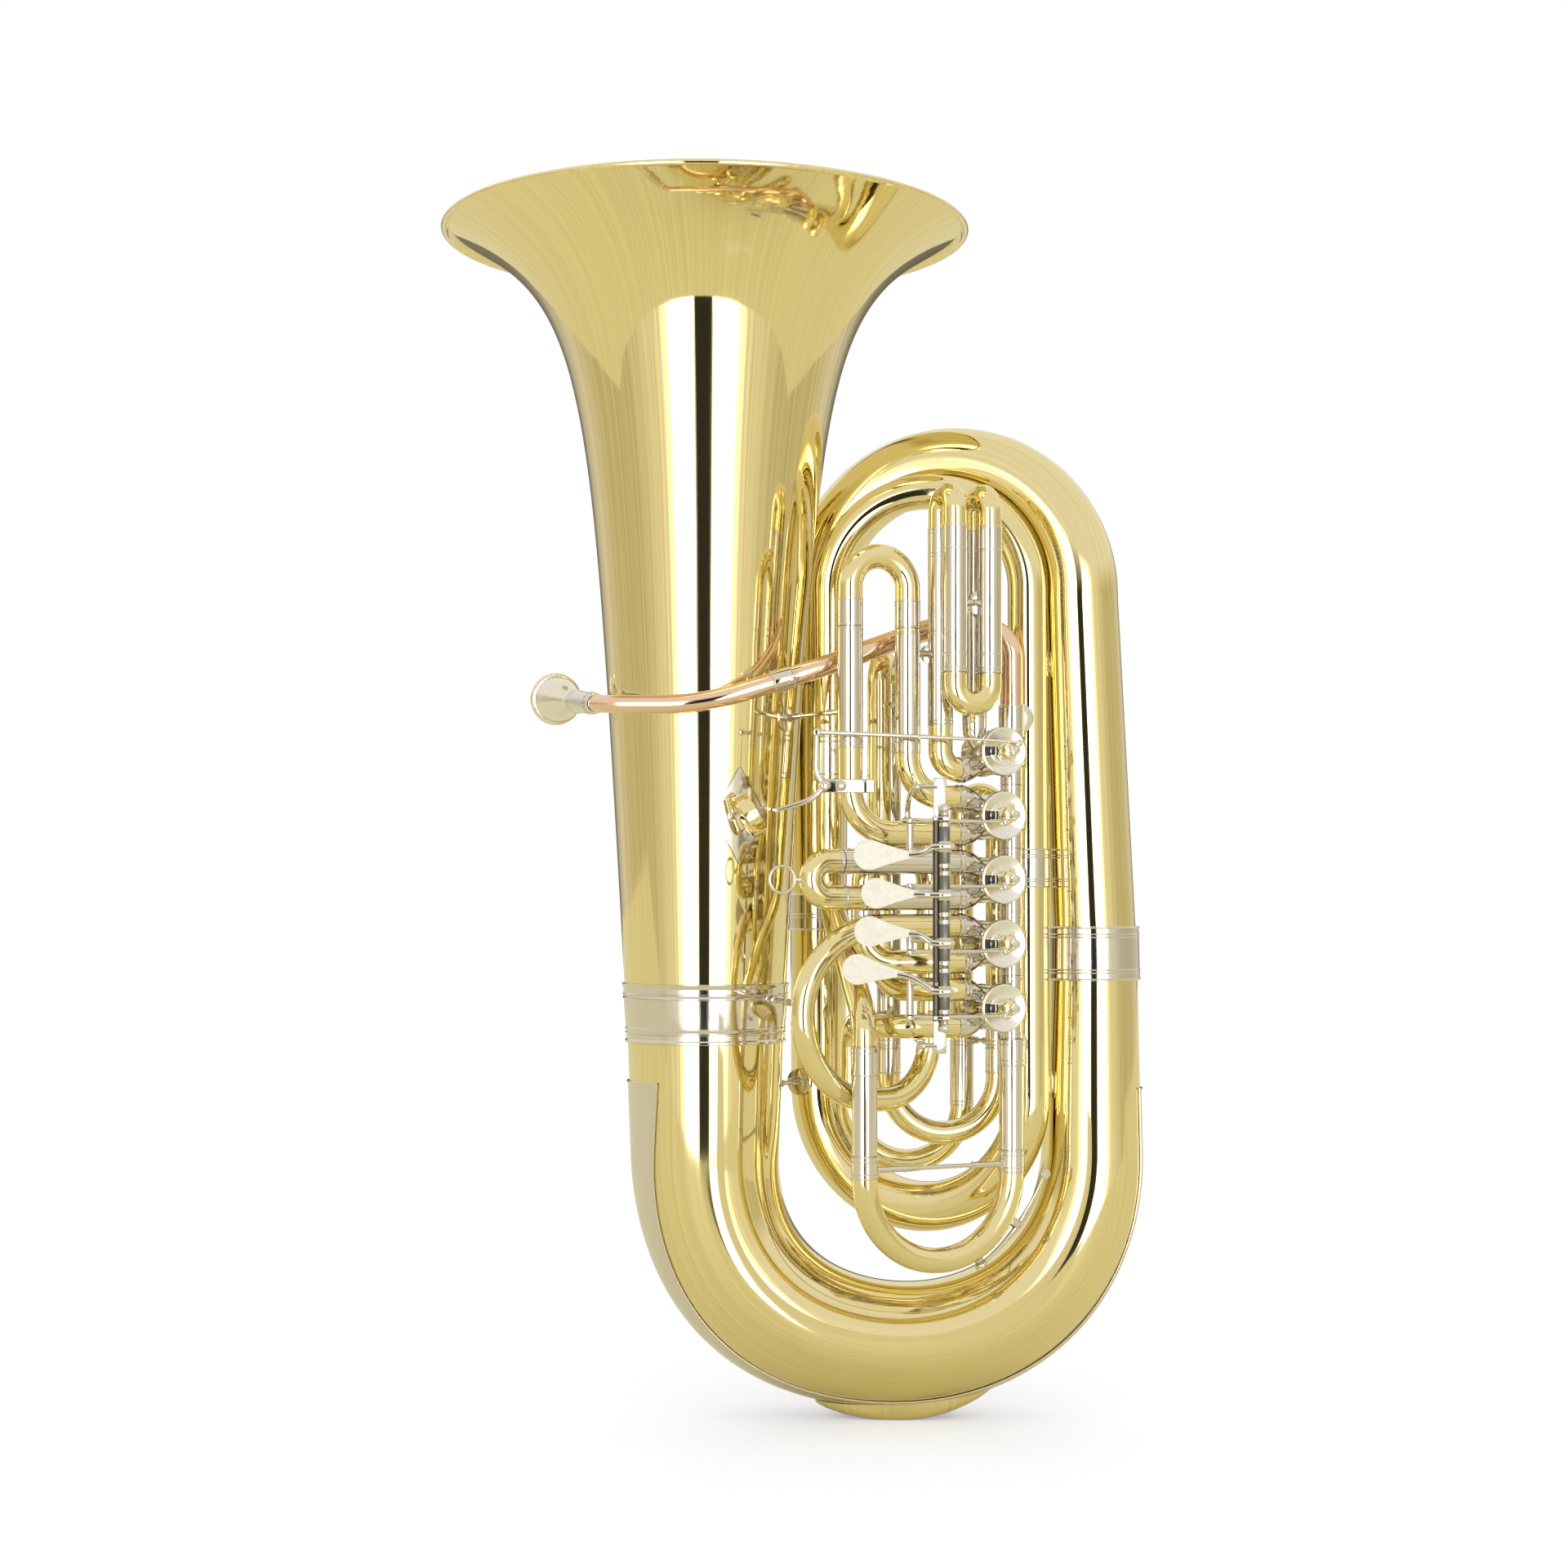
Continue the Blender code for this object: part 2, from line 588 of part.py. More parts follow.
def build_water_key():
    """Spring-closed lever over the drain spout, pivoted on the tuning bow's outer side."""
    pivot, outward = main_slide_corner(math.radians(30))
    spout, down = main_slide_corner(math.radians(62))
    pivot = pivot + outward * (SLIDE_R + 6.8)
    seat = spout + down * (SLIDE_R + 4.4)
    finger = pivot + Vector((21, -2, 40))
    bar = sweep(bend([(seat, 0), (pivot, 14), (finger, 0)], 30), 1.5, 0, 6)
    key = add_object("water_key", bar, "nickel", pivot)
    pad = rod(seat - down * 3.6, seat + down * 1.6, 4.6, SIDES)
    touch = rod(finger - NORMAL * 1.2, finger + NORMAL * 1.2, 4.4, SIDES)
    combine(key, [pad, touch], "UNION")


def build_leadpipe():
    top = VALVE_TOP_Z + VALVE_PITCH / 2
    line = in_row(MAIN_LINE_U, 0)
    aim = Vector((-0.362, 0.926, 0.103)).normalized()
    start = Vector((-240.3, -70, 564.9))
    route = [(line + UP * (top + GAP), 0), (line + UP * 623, 24), (Vector((30, -44, 628)), 60),
             (Vector((-66, -88, 590)), 120), (Vector((-154, -99, 562)), 160),
             (start - aim * 21, 30), (start - aim * 0.8, 0)]
    points = bend(route, 40)
    tube("leadpipe", points, tapered(points, (0, 8.6), (0.3, 8.6), (1, 6.4)), "gold_brass", wall=0.8)
    sleeve = [start + aim * k for k in (0.0, 7.0, 44.0)]
    tube("mouthpiece_receiver", sleeve, [8.3, 8.9, 8.9], "nickel", wall=1.5, across=UP)
    build_mouthpiece(start, aim)


def build_mouthpiece(start, aim):
    """Cup, throat, backbore and tapered shank, turned about the receiver's axis."""
    outside = [(20, 5.9), (46, 6.6), (58, 7.2), (64, 9.5), (78, 15.5), (92, 18.6), (96, 20.6)]
    outside += [(100, 20.8), (103, 19.2)]
    inside = [(103, 17.2), (98, 16.0), (84, 13.6), (70, 7.0), (62, 3.8), (40, 4.4), (20, 4.9)]
    bm = bmesh.new()
    side = aim.orthogonal().normalized()
    other = aim.cross(side)
    sides = 12
    rings = []
    for distance, radius in outside + inside:
        ring = []
        for j in range(sides):
            a = 2 * math.pi * j / sides
            ring.append(bm.verts.new(start + aim * distance + (side * math.cos(a) + other * math.sin(a)) * radius))
        rings.append(ring)
    for ring_a, ring_b in zip(rings, rings[1:] + rings[:1]):
        for j in range(sides):
            bm.faces.new((ring_a[j], ring_a[j - 1], ring_b[j - 1], ring_b[j]))
    add_object("mouthpiece", bm, "silver", start + aim * 44)


def lever_levels(number):
    """The sleeve, arm, paddle, link arm and rod heights of one finger lever."""
    top = SLEEVE_TOP_Z - SLEEVE_PITCH * (number - 1)
    rod_z = valve_height(number) - PIN_OFFSET
    return top, top - SLEEVE_PITCH + 1.2, rod_z


def build_lever(number):
    """A paddle, its S-shaped arm, the sleeve on the common axle and the link post."""
    hub_z = (451.8, 415.9, 380.0, 344.1)[number - 1]
    round_end = ((-28.5, 445.6), (-23.0, 417.2), (-28.2, 388.9), (-37.0, 360.7))[number - 1]
    tip = ((6.1, 445.6), (9.7, 416.6), (6.1, 387.4), (-2.4, 357.0))[number - 1]
    high, low, rod_z = lever_levels(number)
    name = f"lever_{number}"
    across = Vector((1, 0, 0))
    sleeve = sweep([Vector((*AXLE, low)), Vector((*AXLE, high))], [BARREL_R] * 2, BARREL_R - 3.1, SIDES, across)
    lever = add_object(name, sleeve, "steel", (*AXLE, 0))
    paddle_y = AXLE[1] - 5.5
    arm_start = Vector((AXLE[0] - 4.2, paddle_y + 1.5, hub_z))
    arm = [arm_start, arm_start + Vector((-7, -1.5, 0)), Vector((tip[0] + 3, paddle_y, tip[1])),
           Vector((tip[0] - 8, paddle_y, tip[1]))]
    post_side = Vector((*POST, 0))
    link_z = {1: hub_z - 2, 2: rod_z - 7, 3: rod_z + 9, 4: rod_z + 26}[number]
    toward = Vector((AXLE[0], AXLE[1], 0)) + (post_side - Vector((*AXLE, 0))).normalized() * 4.6
    link = rod(toward + UP * link_z, post_side + UP * link_z, 2.0, 8)
    reach = -1 if rod_z < link_z else 1
    post = rod(post_side + UP * (link_z - reach * 2.0), post_side + UP * (rod_z - reach * 2.2), 2.6, 8)
    combine(lever, [sweep(arm, 2.3, 0, 8), paddle(round_end, tip, paddle_y), link, post], "UNION")


def paddle(round_end, tip, y):
    """Teardrop plate: a round end, and straight flanks that meet at the arm."""
    bm = bmesh.new()
    radius = 11.5
    thick = 2.4
    centre = Vector((round_end[0], 0, round_end[1]))
    point = Vector((tip[0], 0, tip[1]))
    aim = (point - centre).normalized()
    side = Vector((-aim.z, 0, aim.x))
    outline = []
    for k in range(11):
        a = math.radians(62 + 23.6 * k)
        outline.append(centre + (aim * math.cos(a) + side * math.sin(a)) * radius)
    outline.append(point - side * 2.2)
    outline.append(point + side * 2.2)
    rows = [[bm.verts.new(p + Vector((0, y + dy, 0))) for p in outline] for dy in (-thick / 2, thick / 2)]
    for j in range(len(outline)):
        bm.faces.new((rows[0][j], rows[0][j - 1], rows[1][j - 1], rows[1][j]))
    for row in rows:
        bm.faces.new(row)
    return bm


def build_link_rod(number):
    """The stiff link between a lever's post and the rotor's stop arm."""
    z = valve_height(number)
    if number == 5:
        pin = in_row(-PIN_OFFSET, z + PIN_OFFSET, PIN_N)
        far = Vector(THUMB_BALL)
        near_eye = rod(pin - NORMAL * 1.2, pin + NORMAL * 1.2, 2.6, 8)
        far_eye = rod(far + Vector((0, -2.2, 0)), far + Vector((0, 2.0, 0)), 3.0, 8)
    else:
        pin = in_row(PIN_OFFSET, z - PIN_OFFSET, PIN_N)
        far = Vector((*POST, z - PIN_OFFSET))
        near_eye = rod(pin - NORMAL * 1.2, pin + NORMAL * 1.2, 2.6, 8)
        far_eye = rod(far - UP * 1.6, far + UP * 1.6, 3.0, 8)
    link = add_object(f"link_rod_{number}", rod(far, pin, 1.4, 6), "steel")
    combine(link, [near_eye, far_eye], "UNION")


def build_lever_frame():
    x, y = AXLE
    top = SLEEVE_TOP_Z
    bottom = lever_levels(4)[1]
    axle = add_object("lever_axle", rod((x, y, bottom - 9), (x, y, top + 9), AXLE_R, 8), "steel")
    finials = [rod((x, y, top + 4.3), (x, y, top + 9.5), 3.4, 8)]
    finials.append(rod((x, y, bottom - 9.5), (x, y, bottom - 4.3), 3.4, 8))
    combine(axle, finials, "UNION")
    first_tube_top = valve_height(1) - PORT_Z + TUBE_R
    stay = [(x - 1, 497), (5, 497), (3.2, 490), (3.2, 482)]
    build_axle_bracket("axle_bracket_top", top + 0.6, 1, 32, stay, first_tube_top + 0.4)
    fourth_tube_foot = valve_height(4) - PORT_Z - TUBE_R
    stay = [(x - 1, 303.5), (9, 303.5), (10, 297), (12.5, 296.5)]
    build_axle_bracket("axle_bracket_bottom", bottom - 0.6, -1, 28.5, stay, fourth_tube_foot - 0.2)


def build_axle_bracket(name, lug_z, side, tab_length, stay, pad_z):
    """A lug round the axle, an upright tab and a bent stay back to a pad on the valve tubing."""
    x, y = AXLE
    lug = block((x, y + 1, lug_z + side * 1.6), (12, 15, 3.2))
    bracket = add_object(name, lug, "nickel")
    tab_y = y + 7.6
    tab = block((x - 0.6, tab_y, lug_z + side * (0.4 + tab_length / 2)), (10, 2.2, tab_length))
    corners = [Vector((a, depth, z)) for (a, z), depth in zip(stay, (tab_y, tab_y, -112, -90))]
    pad = Vector((corners[-1].x, -90, pad_z))
    route = [(corners[0], 0), (corners[1], 5), (corners[2], 12), (corners[3], 4), (pad + UP * side, 0)]
    wire = sweep(bend(route, 30), 2.2, 0, 8)
    foot = rod(pad, pad + UP * side * 2.4, 4.5, 8)
    combine(bracket, [tab, wire, foot], "UNION")
    combine(bracket, [rod((x, y, lug_z - 8), (x, y, lug_z + 8), AXLE_R + 0.4, 8)], "DIFFERENCE")


def build_thumb_lever():
    """Bent lever for the fifth valve, worked by the thumb beside the ring."""
    pivot = Vector(THUMB_PIVOT)
    ball = Vector(THUMB_BALL) + Vector((0, 5.2, 0))
    corner = pivot + Vector((-9.5, 0, -11))
    touch = Vector((-97, -126, 480))
    route = [ball, Vector((ball.x, pivot.y, ball.z - 14)), Vector((pivot.x - 7, pivot.y, pivot.z + 10))]
    route += [pivot, corner, touch]
    lever = add_object("thumb_lever", sweep(route, [1.9, 1.9, 1.9, 2.4, 2.0, 1.7], 0, 8), "nickel", pivot)
    knuckle = rod(pivot + Vector((0, -3.5, 0)), pivot + Vector((0, 3.2, 0)), 4.2, SIDES)
    pad = block(touch + Vector((-6, 0, -1.2)), (20, 8, 2.2))
    joint = rod(ball - Vector((0, 2.2, 0)), ball + Vector((0, 2, 0)), 3.0, 8)
    combine(lever, [knuckle, pad, joint], "UNION")
    tube_face = in_row(120, pivot.z, TUBE_R + 0.4)
    plate = block((pivot.x + 18, tube_face.y - 1.4, pivot.z), (40, 2.0, 10.5))
    bracket = add_object("thumb_lever_bracket", plate, "nickel")
    combine(bracket, [rod((pivot.x, tube_face.y - 1, pivot.z), (pivot.x, pivot.y + 3.6, pivot.z), 3.0, 8)], "UNION")


def build_thumb_ring():
    """Diamond plate on the bell's wall with the ring that holds the player's thumb."""
    top, bottom, left, right = 515.0, 440.5, -145.5, -106.0
    middle_z = (top + bottom) / 2
    middle_x = (left + right) / 2
    layers = []
    for extra in (0.5, 2.0):
        grid = []
        for k in range(7):
            z = bottom + (top - bottom) * k / 6
            share = 1 - abs(z - middle_z) / (middle_z - bottom)
            half = 1.2 + (right - left) / 2 * share
            radius = bell_radius(z) + extra
            row = []
            for j in range(5):
                x = middle_x + half * (j / 2 - 1) + LEG_X
                row.append(Vector((x - LEG_X, -math.sqrt(radius * radius - x * x), z)))
            grid.append(row)
        layers.append(grid)
    plate = add_object("thumb_ring", shell(*layers), "nickel")
    facing = Vector((0.42, -0.9, 0)).normalized()
    radius = bell_radius(middle_z)
    seat = Vector((-LEG_X, 0, middle_z)) + facing * (radius + 1.4)
    hoop_centre = seat + facing * 20.5
    lean = Vector((0.5, 0.45, 0.74)).normalized()
    hoop = sweep([hoop_centre - lean * 5, hoop_centre + lean * 5], [17.5, 17.5], 2.0, 14)
    stem = rod(seat - facing * 0.4, seat + facing * 4.8, 3.4, 8)
    combine(plate, [stem, hoop], "UNION")


clear_scene()
build_bell()
build_outer_bows()
build_foot_plate()
build_inner_branches()
for valve in (5, 1, 2, 3, 4):
    build_casing(valve)
    build_rotor(valve)
    build_link_rod(valve)
build_valve_1()
build_valve_2()
build_valve_3()
build_valve_4()
build_valve_5()
build_main_slide()
build_water_key()
build_leadpipe()
for finger in (1, 2, 3, 4):
    build_lever(finger)
build_lever_frame()
build_thumb_lever()
build_thumb_ring()
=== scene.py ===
"""The look of the rotary tuba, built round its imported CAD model. Lengths below are in millimetres."""

import math

import bmesh
import bpy
from mathutils import Matrix, Vector


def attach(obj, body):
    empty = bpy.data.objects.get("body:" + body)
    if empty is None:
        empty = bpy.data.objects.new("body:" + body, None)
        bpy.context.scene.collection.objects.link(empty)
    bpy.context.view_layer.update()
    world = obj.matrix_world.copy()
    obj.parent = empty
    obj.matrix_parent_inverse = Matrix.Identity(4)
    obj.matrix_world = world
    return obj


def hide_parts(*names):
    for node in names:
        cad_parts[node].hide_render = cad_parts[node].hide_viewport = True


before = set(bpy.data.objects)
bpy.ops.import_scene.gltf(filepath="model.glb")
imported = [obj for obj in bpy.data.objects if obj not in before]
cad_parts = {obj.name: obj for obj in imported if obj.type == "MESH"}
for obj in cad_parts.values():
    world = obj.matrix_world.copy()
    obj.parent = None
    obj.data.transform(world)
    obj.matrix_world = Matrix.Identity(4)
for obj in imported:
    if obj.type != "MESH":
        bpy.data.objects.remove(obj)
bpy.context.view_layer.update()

MM = 0.001
UP = Vector((0, 0, 1))
FINE = 4  # degrees between the points of a bend

# The bugle: the big bow's two legs, heights of its joints, and the (x, y) of the legs behind it
LEG_X = 154.6
BOW_CENTRE_Z = 212.4
RIM_Z = 949.0
BELL_JOINT_Z = 321.0
BRANCH_JOINT_Z = 370.0
TOP_JOINT_Z = 655.0
LOW_JOINT_Z = 262.0
GUARD_TOP_Z = 262.0
INNER_LEG = (-63.3, 62.0)
FIRST_LEG = (-55.4, -15.0)
THIRD_LEG = (101.5, -27.0)
OUTER_TOP = (143.3, 0.0)

# The valve row: its line, the way its caps face, and the ports above and below each valve's middle
VALVE_Z = {5: 527.0, 1: 477.5, 2: 428.0, 3: 378.5, 4: 329.0}
VALVE_MAIN = (70.0, -62.0)
VALVE_YAW = math.radians(22.0)
NORMAL = Vector((math.sin(VALVE_YAW), -math.cos(VALVE_YAW), 0))
ALONG = Vector((-math.cos(VALVE_YAW), -math.sin(VALVE_YAW), 0))
PORT_Z = 13.9
HALF_CASING = 24.75
MAIN_LINE = -17.0
STUB_END = 28.0
TUBE_R = 9.6
SLIDE_R = 10.3
SLIDE_BOW_Z = 199.7

# The action: the levers' axle, the line of their link posts, and the pin that each rod turns on
AXLE = Vector((25.4, -152.0, 0))
BARREL = AXLE + Vector((2.7, -1.0, 0))
FRONT = Vector((0.2, -1, 0.08)).normalized()
POST = Vector((3.3, -127.8, 0))
PIN_OFFSET = 5.5
PIN_N = 36.2
LEVER_PITCH = 36.2
THUMB_BALL = Vector((-67.0, -131.0, 538.5))
THUMB_PIVOT = Vector((-61.0, -126.0, 498.6))

# The room, in metres and degrees: light by angle from the front, the floor, a card before the bow, the camera
BLACK, WHITE = (0.007, 0.007, 0.006), (1.0, 1.0, 0.98)
LIGHT_ROUND = [(0, BLACK), (7.6, BLACK), (8.4, WHITE), (26, WHITE), (31, (0.42, 0.4, 0.36)),
               (38, (0.23, 0.215, 0.17)), (54, (0.19, 0.176, 0.13)), (70, (0.15, 0.137, 0.094)),
               (108, (0.148, 0.135, 0.09)), (132, (0.18, 0.168, 0.145)), (146, (0.14, 0.13, 0.108)),
               (160, (0.06, 0.054, 0.04)), (180, (0.02, 0.018, 0.012))]
ROOF_LIGHT = (0.214, 0.207, 0.186, 1)
ROOF_FROM, ROOF_TO = 0.15, 0.32
BACKDROP = (0.24, 0.24, 0.24, 1)
WORLD_STRENGTH = 4.2
FLOOR_CAST, FLOOR_SEEN = (0.87, 0.84, 0.62, 1), (0.88, 0.93, 1, 1)
FLOOR_HALF = 7
FLOOR_PLACE = (0, 5.7, -0.0003)
REFLECTOR_Y = -0.5
REFLECTOR = ((0.01, 0), (0.25, 0), (0.25, 0.115), (0.13, 0.125), (0.1, 0.23), (0.01, 0.25))
CAMERA_PLACE = (-0.0916, -2.133, 0.408)
CAMERA_LENS = 61.13
CAMERA_RISE = 0.0776


# Materials


def node(tree, kind, **values):
    made = tree.nodes.new(kind)
    for key, value in values.items():
        setattr(made, key, value)
    return made


def put(made, socket, value):
    """Sets a node's input, or links another node's output to it."""
    if isinstance(value, bpy.types.NodeSocket):
        made.id_data.links.new(value, made.inputs[socket])
    else:
        made.inputs[socket].default_value = value


def mixed(tree, share, first, second, **kind):
    made = node(tree, "ShaderNodeMix", data_type="RGBA", **kind)
    for socket, value in (("Factor", share), ("A", first), ("B", second)):
        put(made, socket, value)
    return made.outputs["Result"]


def worked(tree, operation, *values):
    made = node(tree, "ShaderNodeMath", operation=operation)
    for socket, value in enumerate(values):
        put(made, socket, value)
    return made.outputs[0]


def bump(tree, height, strength, distance, under=None):
    made = node(tree, "ShaderNodeBump")
    put(made, "Height", height)
    put(made, "Strength", strength)
    put(made, "Distance", distance)
    if under:
        put(made, "Normal", under)
    return made.outputs["Normal"]


def streak_noise(tree, scale, detail):
    """Noise drawn out along a piece: its UV map runs round the piece, then along it, in metres."""
    mapping = node(tree, "ShaderNodeMapping")
    put(mapping, "Scale", (*scale, 1))
    put(mapping, "Vector", node(tree, "ShaderNodeTexCoord").outputs["UV"])
    noise = node(tree, "ShaderNodeTexNoise")
    put(noise, "Scale", 1.0)
    put(noise, "Detail", detail)
    put(noise, "Vector", mapping.outputs["Vector"])
    return noise.outputs["Fac"]


def spread(tree, value, low, high):
    """Maps noise from its usual range to low...high."""
    made = node(tree, "ShaderNodeMapRange")
    put(made, "From Min", 0.3)
    put(made, "From Max", 0.7)
    put(made, "To Min", low)
    put(made, "To Max", high)
    put(made, "Value", value)
    return made.outputs["Result"]


def new_material(name):
    material = bpy.data.materials.new(name)
    material.use_nodes = True
    return material, material.node_tree, material.node_tree.nodes["Principled BSDF"]


def polished(name, colour, rough, fine=(2600, 16), waves=(60, 9), line=0.05, wave=0.25, coat=0.4, metal=1.0,
             depth=0.08):
    """Polished sheet metal: draw lines along the piece, slow waves in the surface and uneven gloss."""
    material, tree, shader = new_material(name)
    lines = streak_noise(tree, fine, 3)
    slow = streak_noise(tree, waves, 2)
    dull = (*[c * (1 - depth) for c in colour], 1)
    bright = (*[min(c * 1.05, 1) for c in colour], 1)
    put(shader, "Base Color", mixed(tree, spread(tree, lines, 0, 1), dull, bright))
    put(shader, "Roughness", spread(tree, slow, rough * 0.7, rough * 1.4))
    put(shader, "Normal", bump(tree, lines, line, 0.0003, bump(tree, slow, wave, 0.0006)))
    put(shader, "Metallic", metal)
    put(shader, "Coat Weight", coat)
    put(shader, "Coat Roughness", 0.03)
    return material


BRASS = polished("brass", (0.86, 0.745, 0.4), 0.06)
BIG_BRASS = polished("brass_bugle", (0.86, 0.745, 0.4), 0.05, (380, 2.4), (16, 2), 0.03, 0.1, depth=0.09)
SATIN = polished("brass_satin", (0.78, 0.62, 0.27), 0.42, (380, 2.4), (16, 2), 0.03, 0.1, 0.1, 0.35)
NICKEL = polished("nickel_silver", (0.74, 0.7, 0.64), 0.07, wave=0.12, coat=0.15)
ROSE = polished("gold_brass", (0.89, 0.64, 0.48), 0.07, waves=(70, 40))
SILVER = polished("silver", (0.86, 0.83, 0.76), 0.06, coat=0.1)
# Gilt brass for the rotor shafts and the mouthpiece rim; on the rim this gold is partly a slight real gilt
# tint and partly a painted reflection of the bell
GILT = polished("gilt", (0.86, 0.74, 0.42), 0.08, coat=0.1)
STEEL = polished("steel", (0.22, 0.21, 0.195), 0.32, (4200, 30), (90, 20), 0.2, 0.1, 0)
CAP = polished("nickel_silver_cap", (0.86, 0.84, 0.8), 0.2, (500, 500), (90, 90), 0.03, 0.05, 0.2)
ENAMEL = polished("enamel", (0.80, 0.78, 0.74), 0.3, (300, 300), (60, 60), 0.02, 0.05, 0.5, 0)
RUBBER = polished("rubber", (0.02, 0.02, 0.022), 0.55, (900, 900), (200, 200), 0.2, 0.1, 0, 0)
# Dark steel for the spring bar; the same material also draws the painted shade line round the thumb ring
# plate
DARK = polished("steel_dark_and_painted_edge_shade", (0.12, 0.113, 0.1), 0.3, (4200, 30), (90, 20), 0.1, 0.1, 0)
CORK = polished("cork", (0.36, 0.3, 0.16), 0.6, (1500, 1500), (400, 400), 0.5, 0.2, 0, 0)


# Shapes


def quad(bm, layer, corners, marks):
    face = bm.faces.new(corners)
    for loop, mark in zip(face.loops, marks):
        loop[layer].uv = mark


def cell(j, k):
    """The four corners of one cell of a grid, as (column, row)."""
    return (j, k), (j + 1, k), (j + 1, k + 1), (j, k + 1)


def in_row(s, z, forward=0.0):
    """A point of the valve row's plane: s leftward from the valve line, forward to the player's hand."""
    return Vector((*VALVE_MAIN, z)) + ALONG * s + NORMAL * forward


def bend(corners, step=FINE):
    """Points along straight runs joined by round bends. A corner is (point, bend radius)."""
    points = [Vector(corners[0][0])]
    for (before, _), (corner, radius), (after, _) in zip(corners, corners[1:], corners[2:]):
        corner = Vector(corner)
        back = (Vector(before) - corner).normalized()
        ahead = (Vector(after) - corner).normalized()
        turn = math.pi - back.angle(ahead)
        reach = radius * math.tan(turn / 2)
        centre = corner + (back + ahead).normalized() * radius / math.cos(turn / 2)
        start = corner + back * reach - centre
        axis = start.cross(corner + ahead * reach - centre).normalized()
        count = max(3, round(math.degrees(turn) / step))
        for k in range(count + 1):
            point = centre + Matrix.Rotation(turn * k / count, 3, axis) @ start
            if (point - points[-1]).length > 0.05:
                points.append(point)
    last = Vector(corners[-1][0])
    if (points[-1] - last).length < 0.05:
        points.pop()
    points.append(last)
    return points


def arch(first, last, way, run=3, step=3):
    """Points over a half circle from end to end, with a straight run before and after it."""
    half = (last - first).length / 2
    out = way * (half + run)
    return bend([(first, 0), (first + out, half), (last + out, half), (last, 0)], step)


def smooth_path(points, rounds=2):
    """Rounds a chain of points off by cutting its corners."""
    points = [Vector(p) for p in points]
    for _ in range(rounds):
        cut = [points[0]]
        for a, b in zip(points, points[1:]):
            cut += [a.lerp(b, 0.25), a.lerp(b, 0.75)]
        points = [*cut, points[-1]]
    return points


def lengths_along(points):
    total = [0.0]
    for a, b in zip(points, points[1:]):
        total.append(total[-1] + (b - a).length)
    return total


def tapered(points, *stops):
    """A radius for each point, from (fraction of the length, radius) stops."""
    along = lengths_along(points)
    radii = []
    for distance in along:
        share = distance / along[-1]
        for (low, r_low), (high, r_high) in zip(stops, stops[1:]):
            if share <= high + 1e-9:
                radii.append(r_low + (r_high - r_low) * (share - low) / (high - low))
                break
    return radii


def sweep(bm, points, radii, wall=0.8, sides=36, across=None, flat=None):
    """A tube along the points, hollow unless wall is 0. flat=(a, b) gives an oval section of those shares."""
    layer = bm.loops.layers.uv.verify()
    points = [Vector(p) for p in points]
    if isinstance(radii, (int, float)):
        radii = [radii] * len(points)
    tangents = []
    for k in range(len(points)):
        step_in = (points[k] - points[k - 1]).normalized() if k else None
        step_out = (points[k + 1] - points[k]).normalized() if k < len(points) - 1 else None
        tangents.append(((step_in or step_out) + (step_out or step_in)).normalized())
    side = Vector(across) if across else tangents[0].orthogonal()
    along = lengths_along(points)
    rings = {"outer": [], "inner": []}
    wide, high = flat or (1, 1)
    for k, (point, tangent, radius) in enumerate(zip(points, tangents, radii)):
        if k:
            side = tangents[k - 1].rotation_difference(tangent) @ side
        side = (side - tangent * side.dot(tangent)).normalized()
        other = tangent.cross(side)
        for name, r in (("outer", radius), ("inner", radius - wall)):
            if name == "inner" and not wall:
                continue
            ring = []
            for j in range(sides):
                a = 2 * math.pi * j / sides
                arm = side * (math.cos(a) * wide) + other * (math.sin(a) * high)
                ring.append(bm.verts.new((point + arm * r) * MM))
            rings[name].append(ring)
    girth = 2 * math.pi * max(radii) * MM
    for rows in rings.values():
        for k in range(len(rows) - 1):
            for j in range(sides):
                n = (j + 1) % sides
                marks = [(girth * a / sides, along[b] * MM) for a, b in cell(j, k)]
                quad(bm, layer, (rows[k][j], rows[k][n], rows[k + 1][n], rows[k + 1][j]), marks)
    for end in (0, -1):
        outer = rings["outer"][end]
        if wall:
            inner = rings["inner"][end]
            for j in range(sides):
                n = (j + 1) % sides
                bm.faces.new((outer[j], outer[n], inner[n], inner[j]))
        else:
            bm.faces.new(outer)


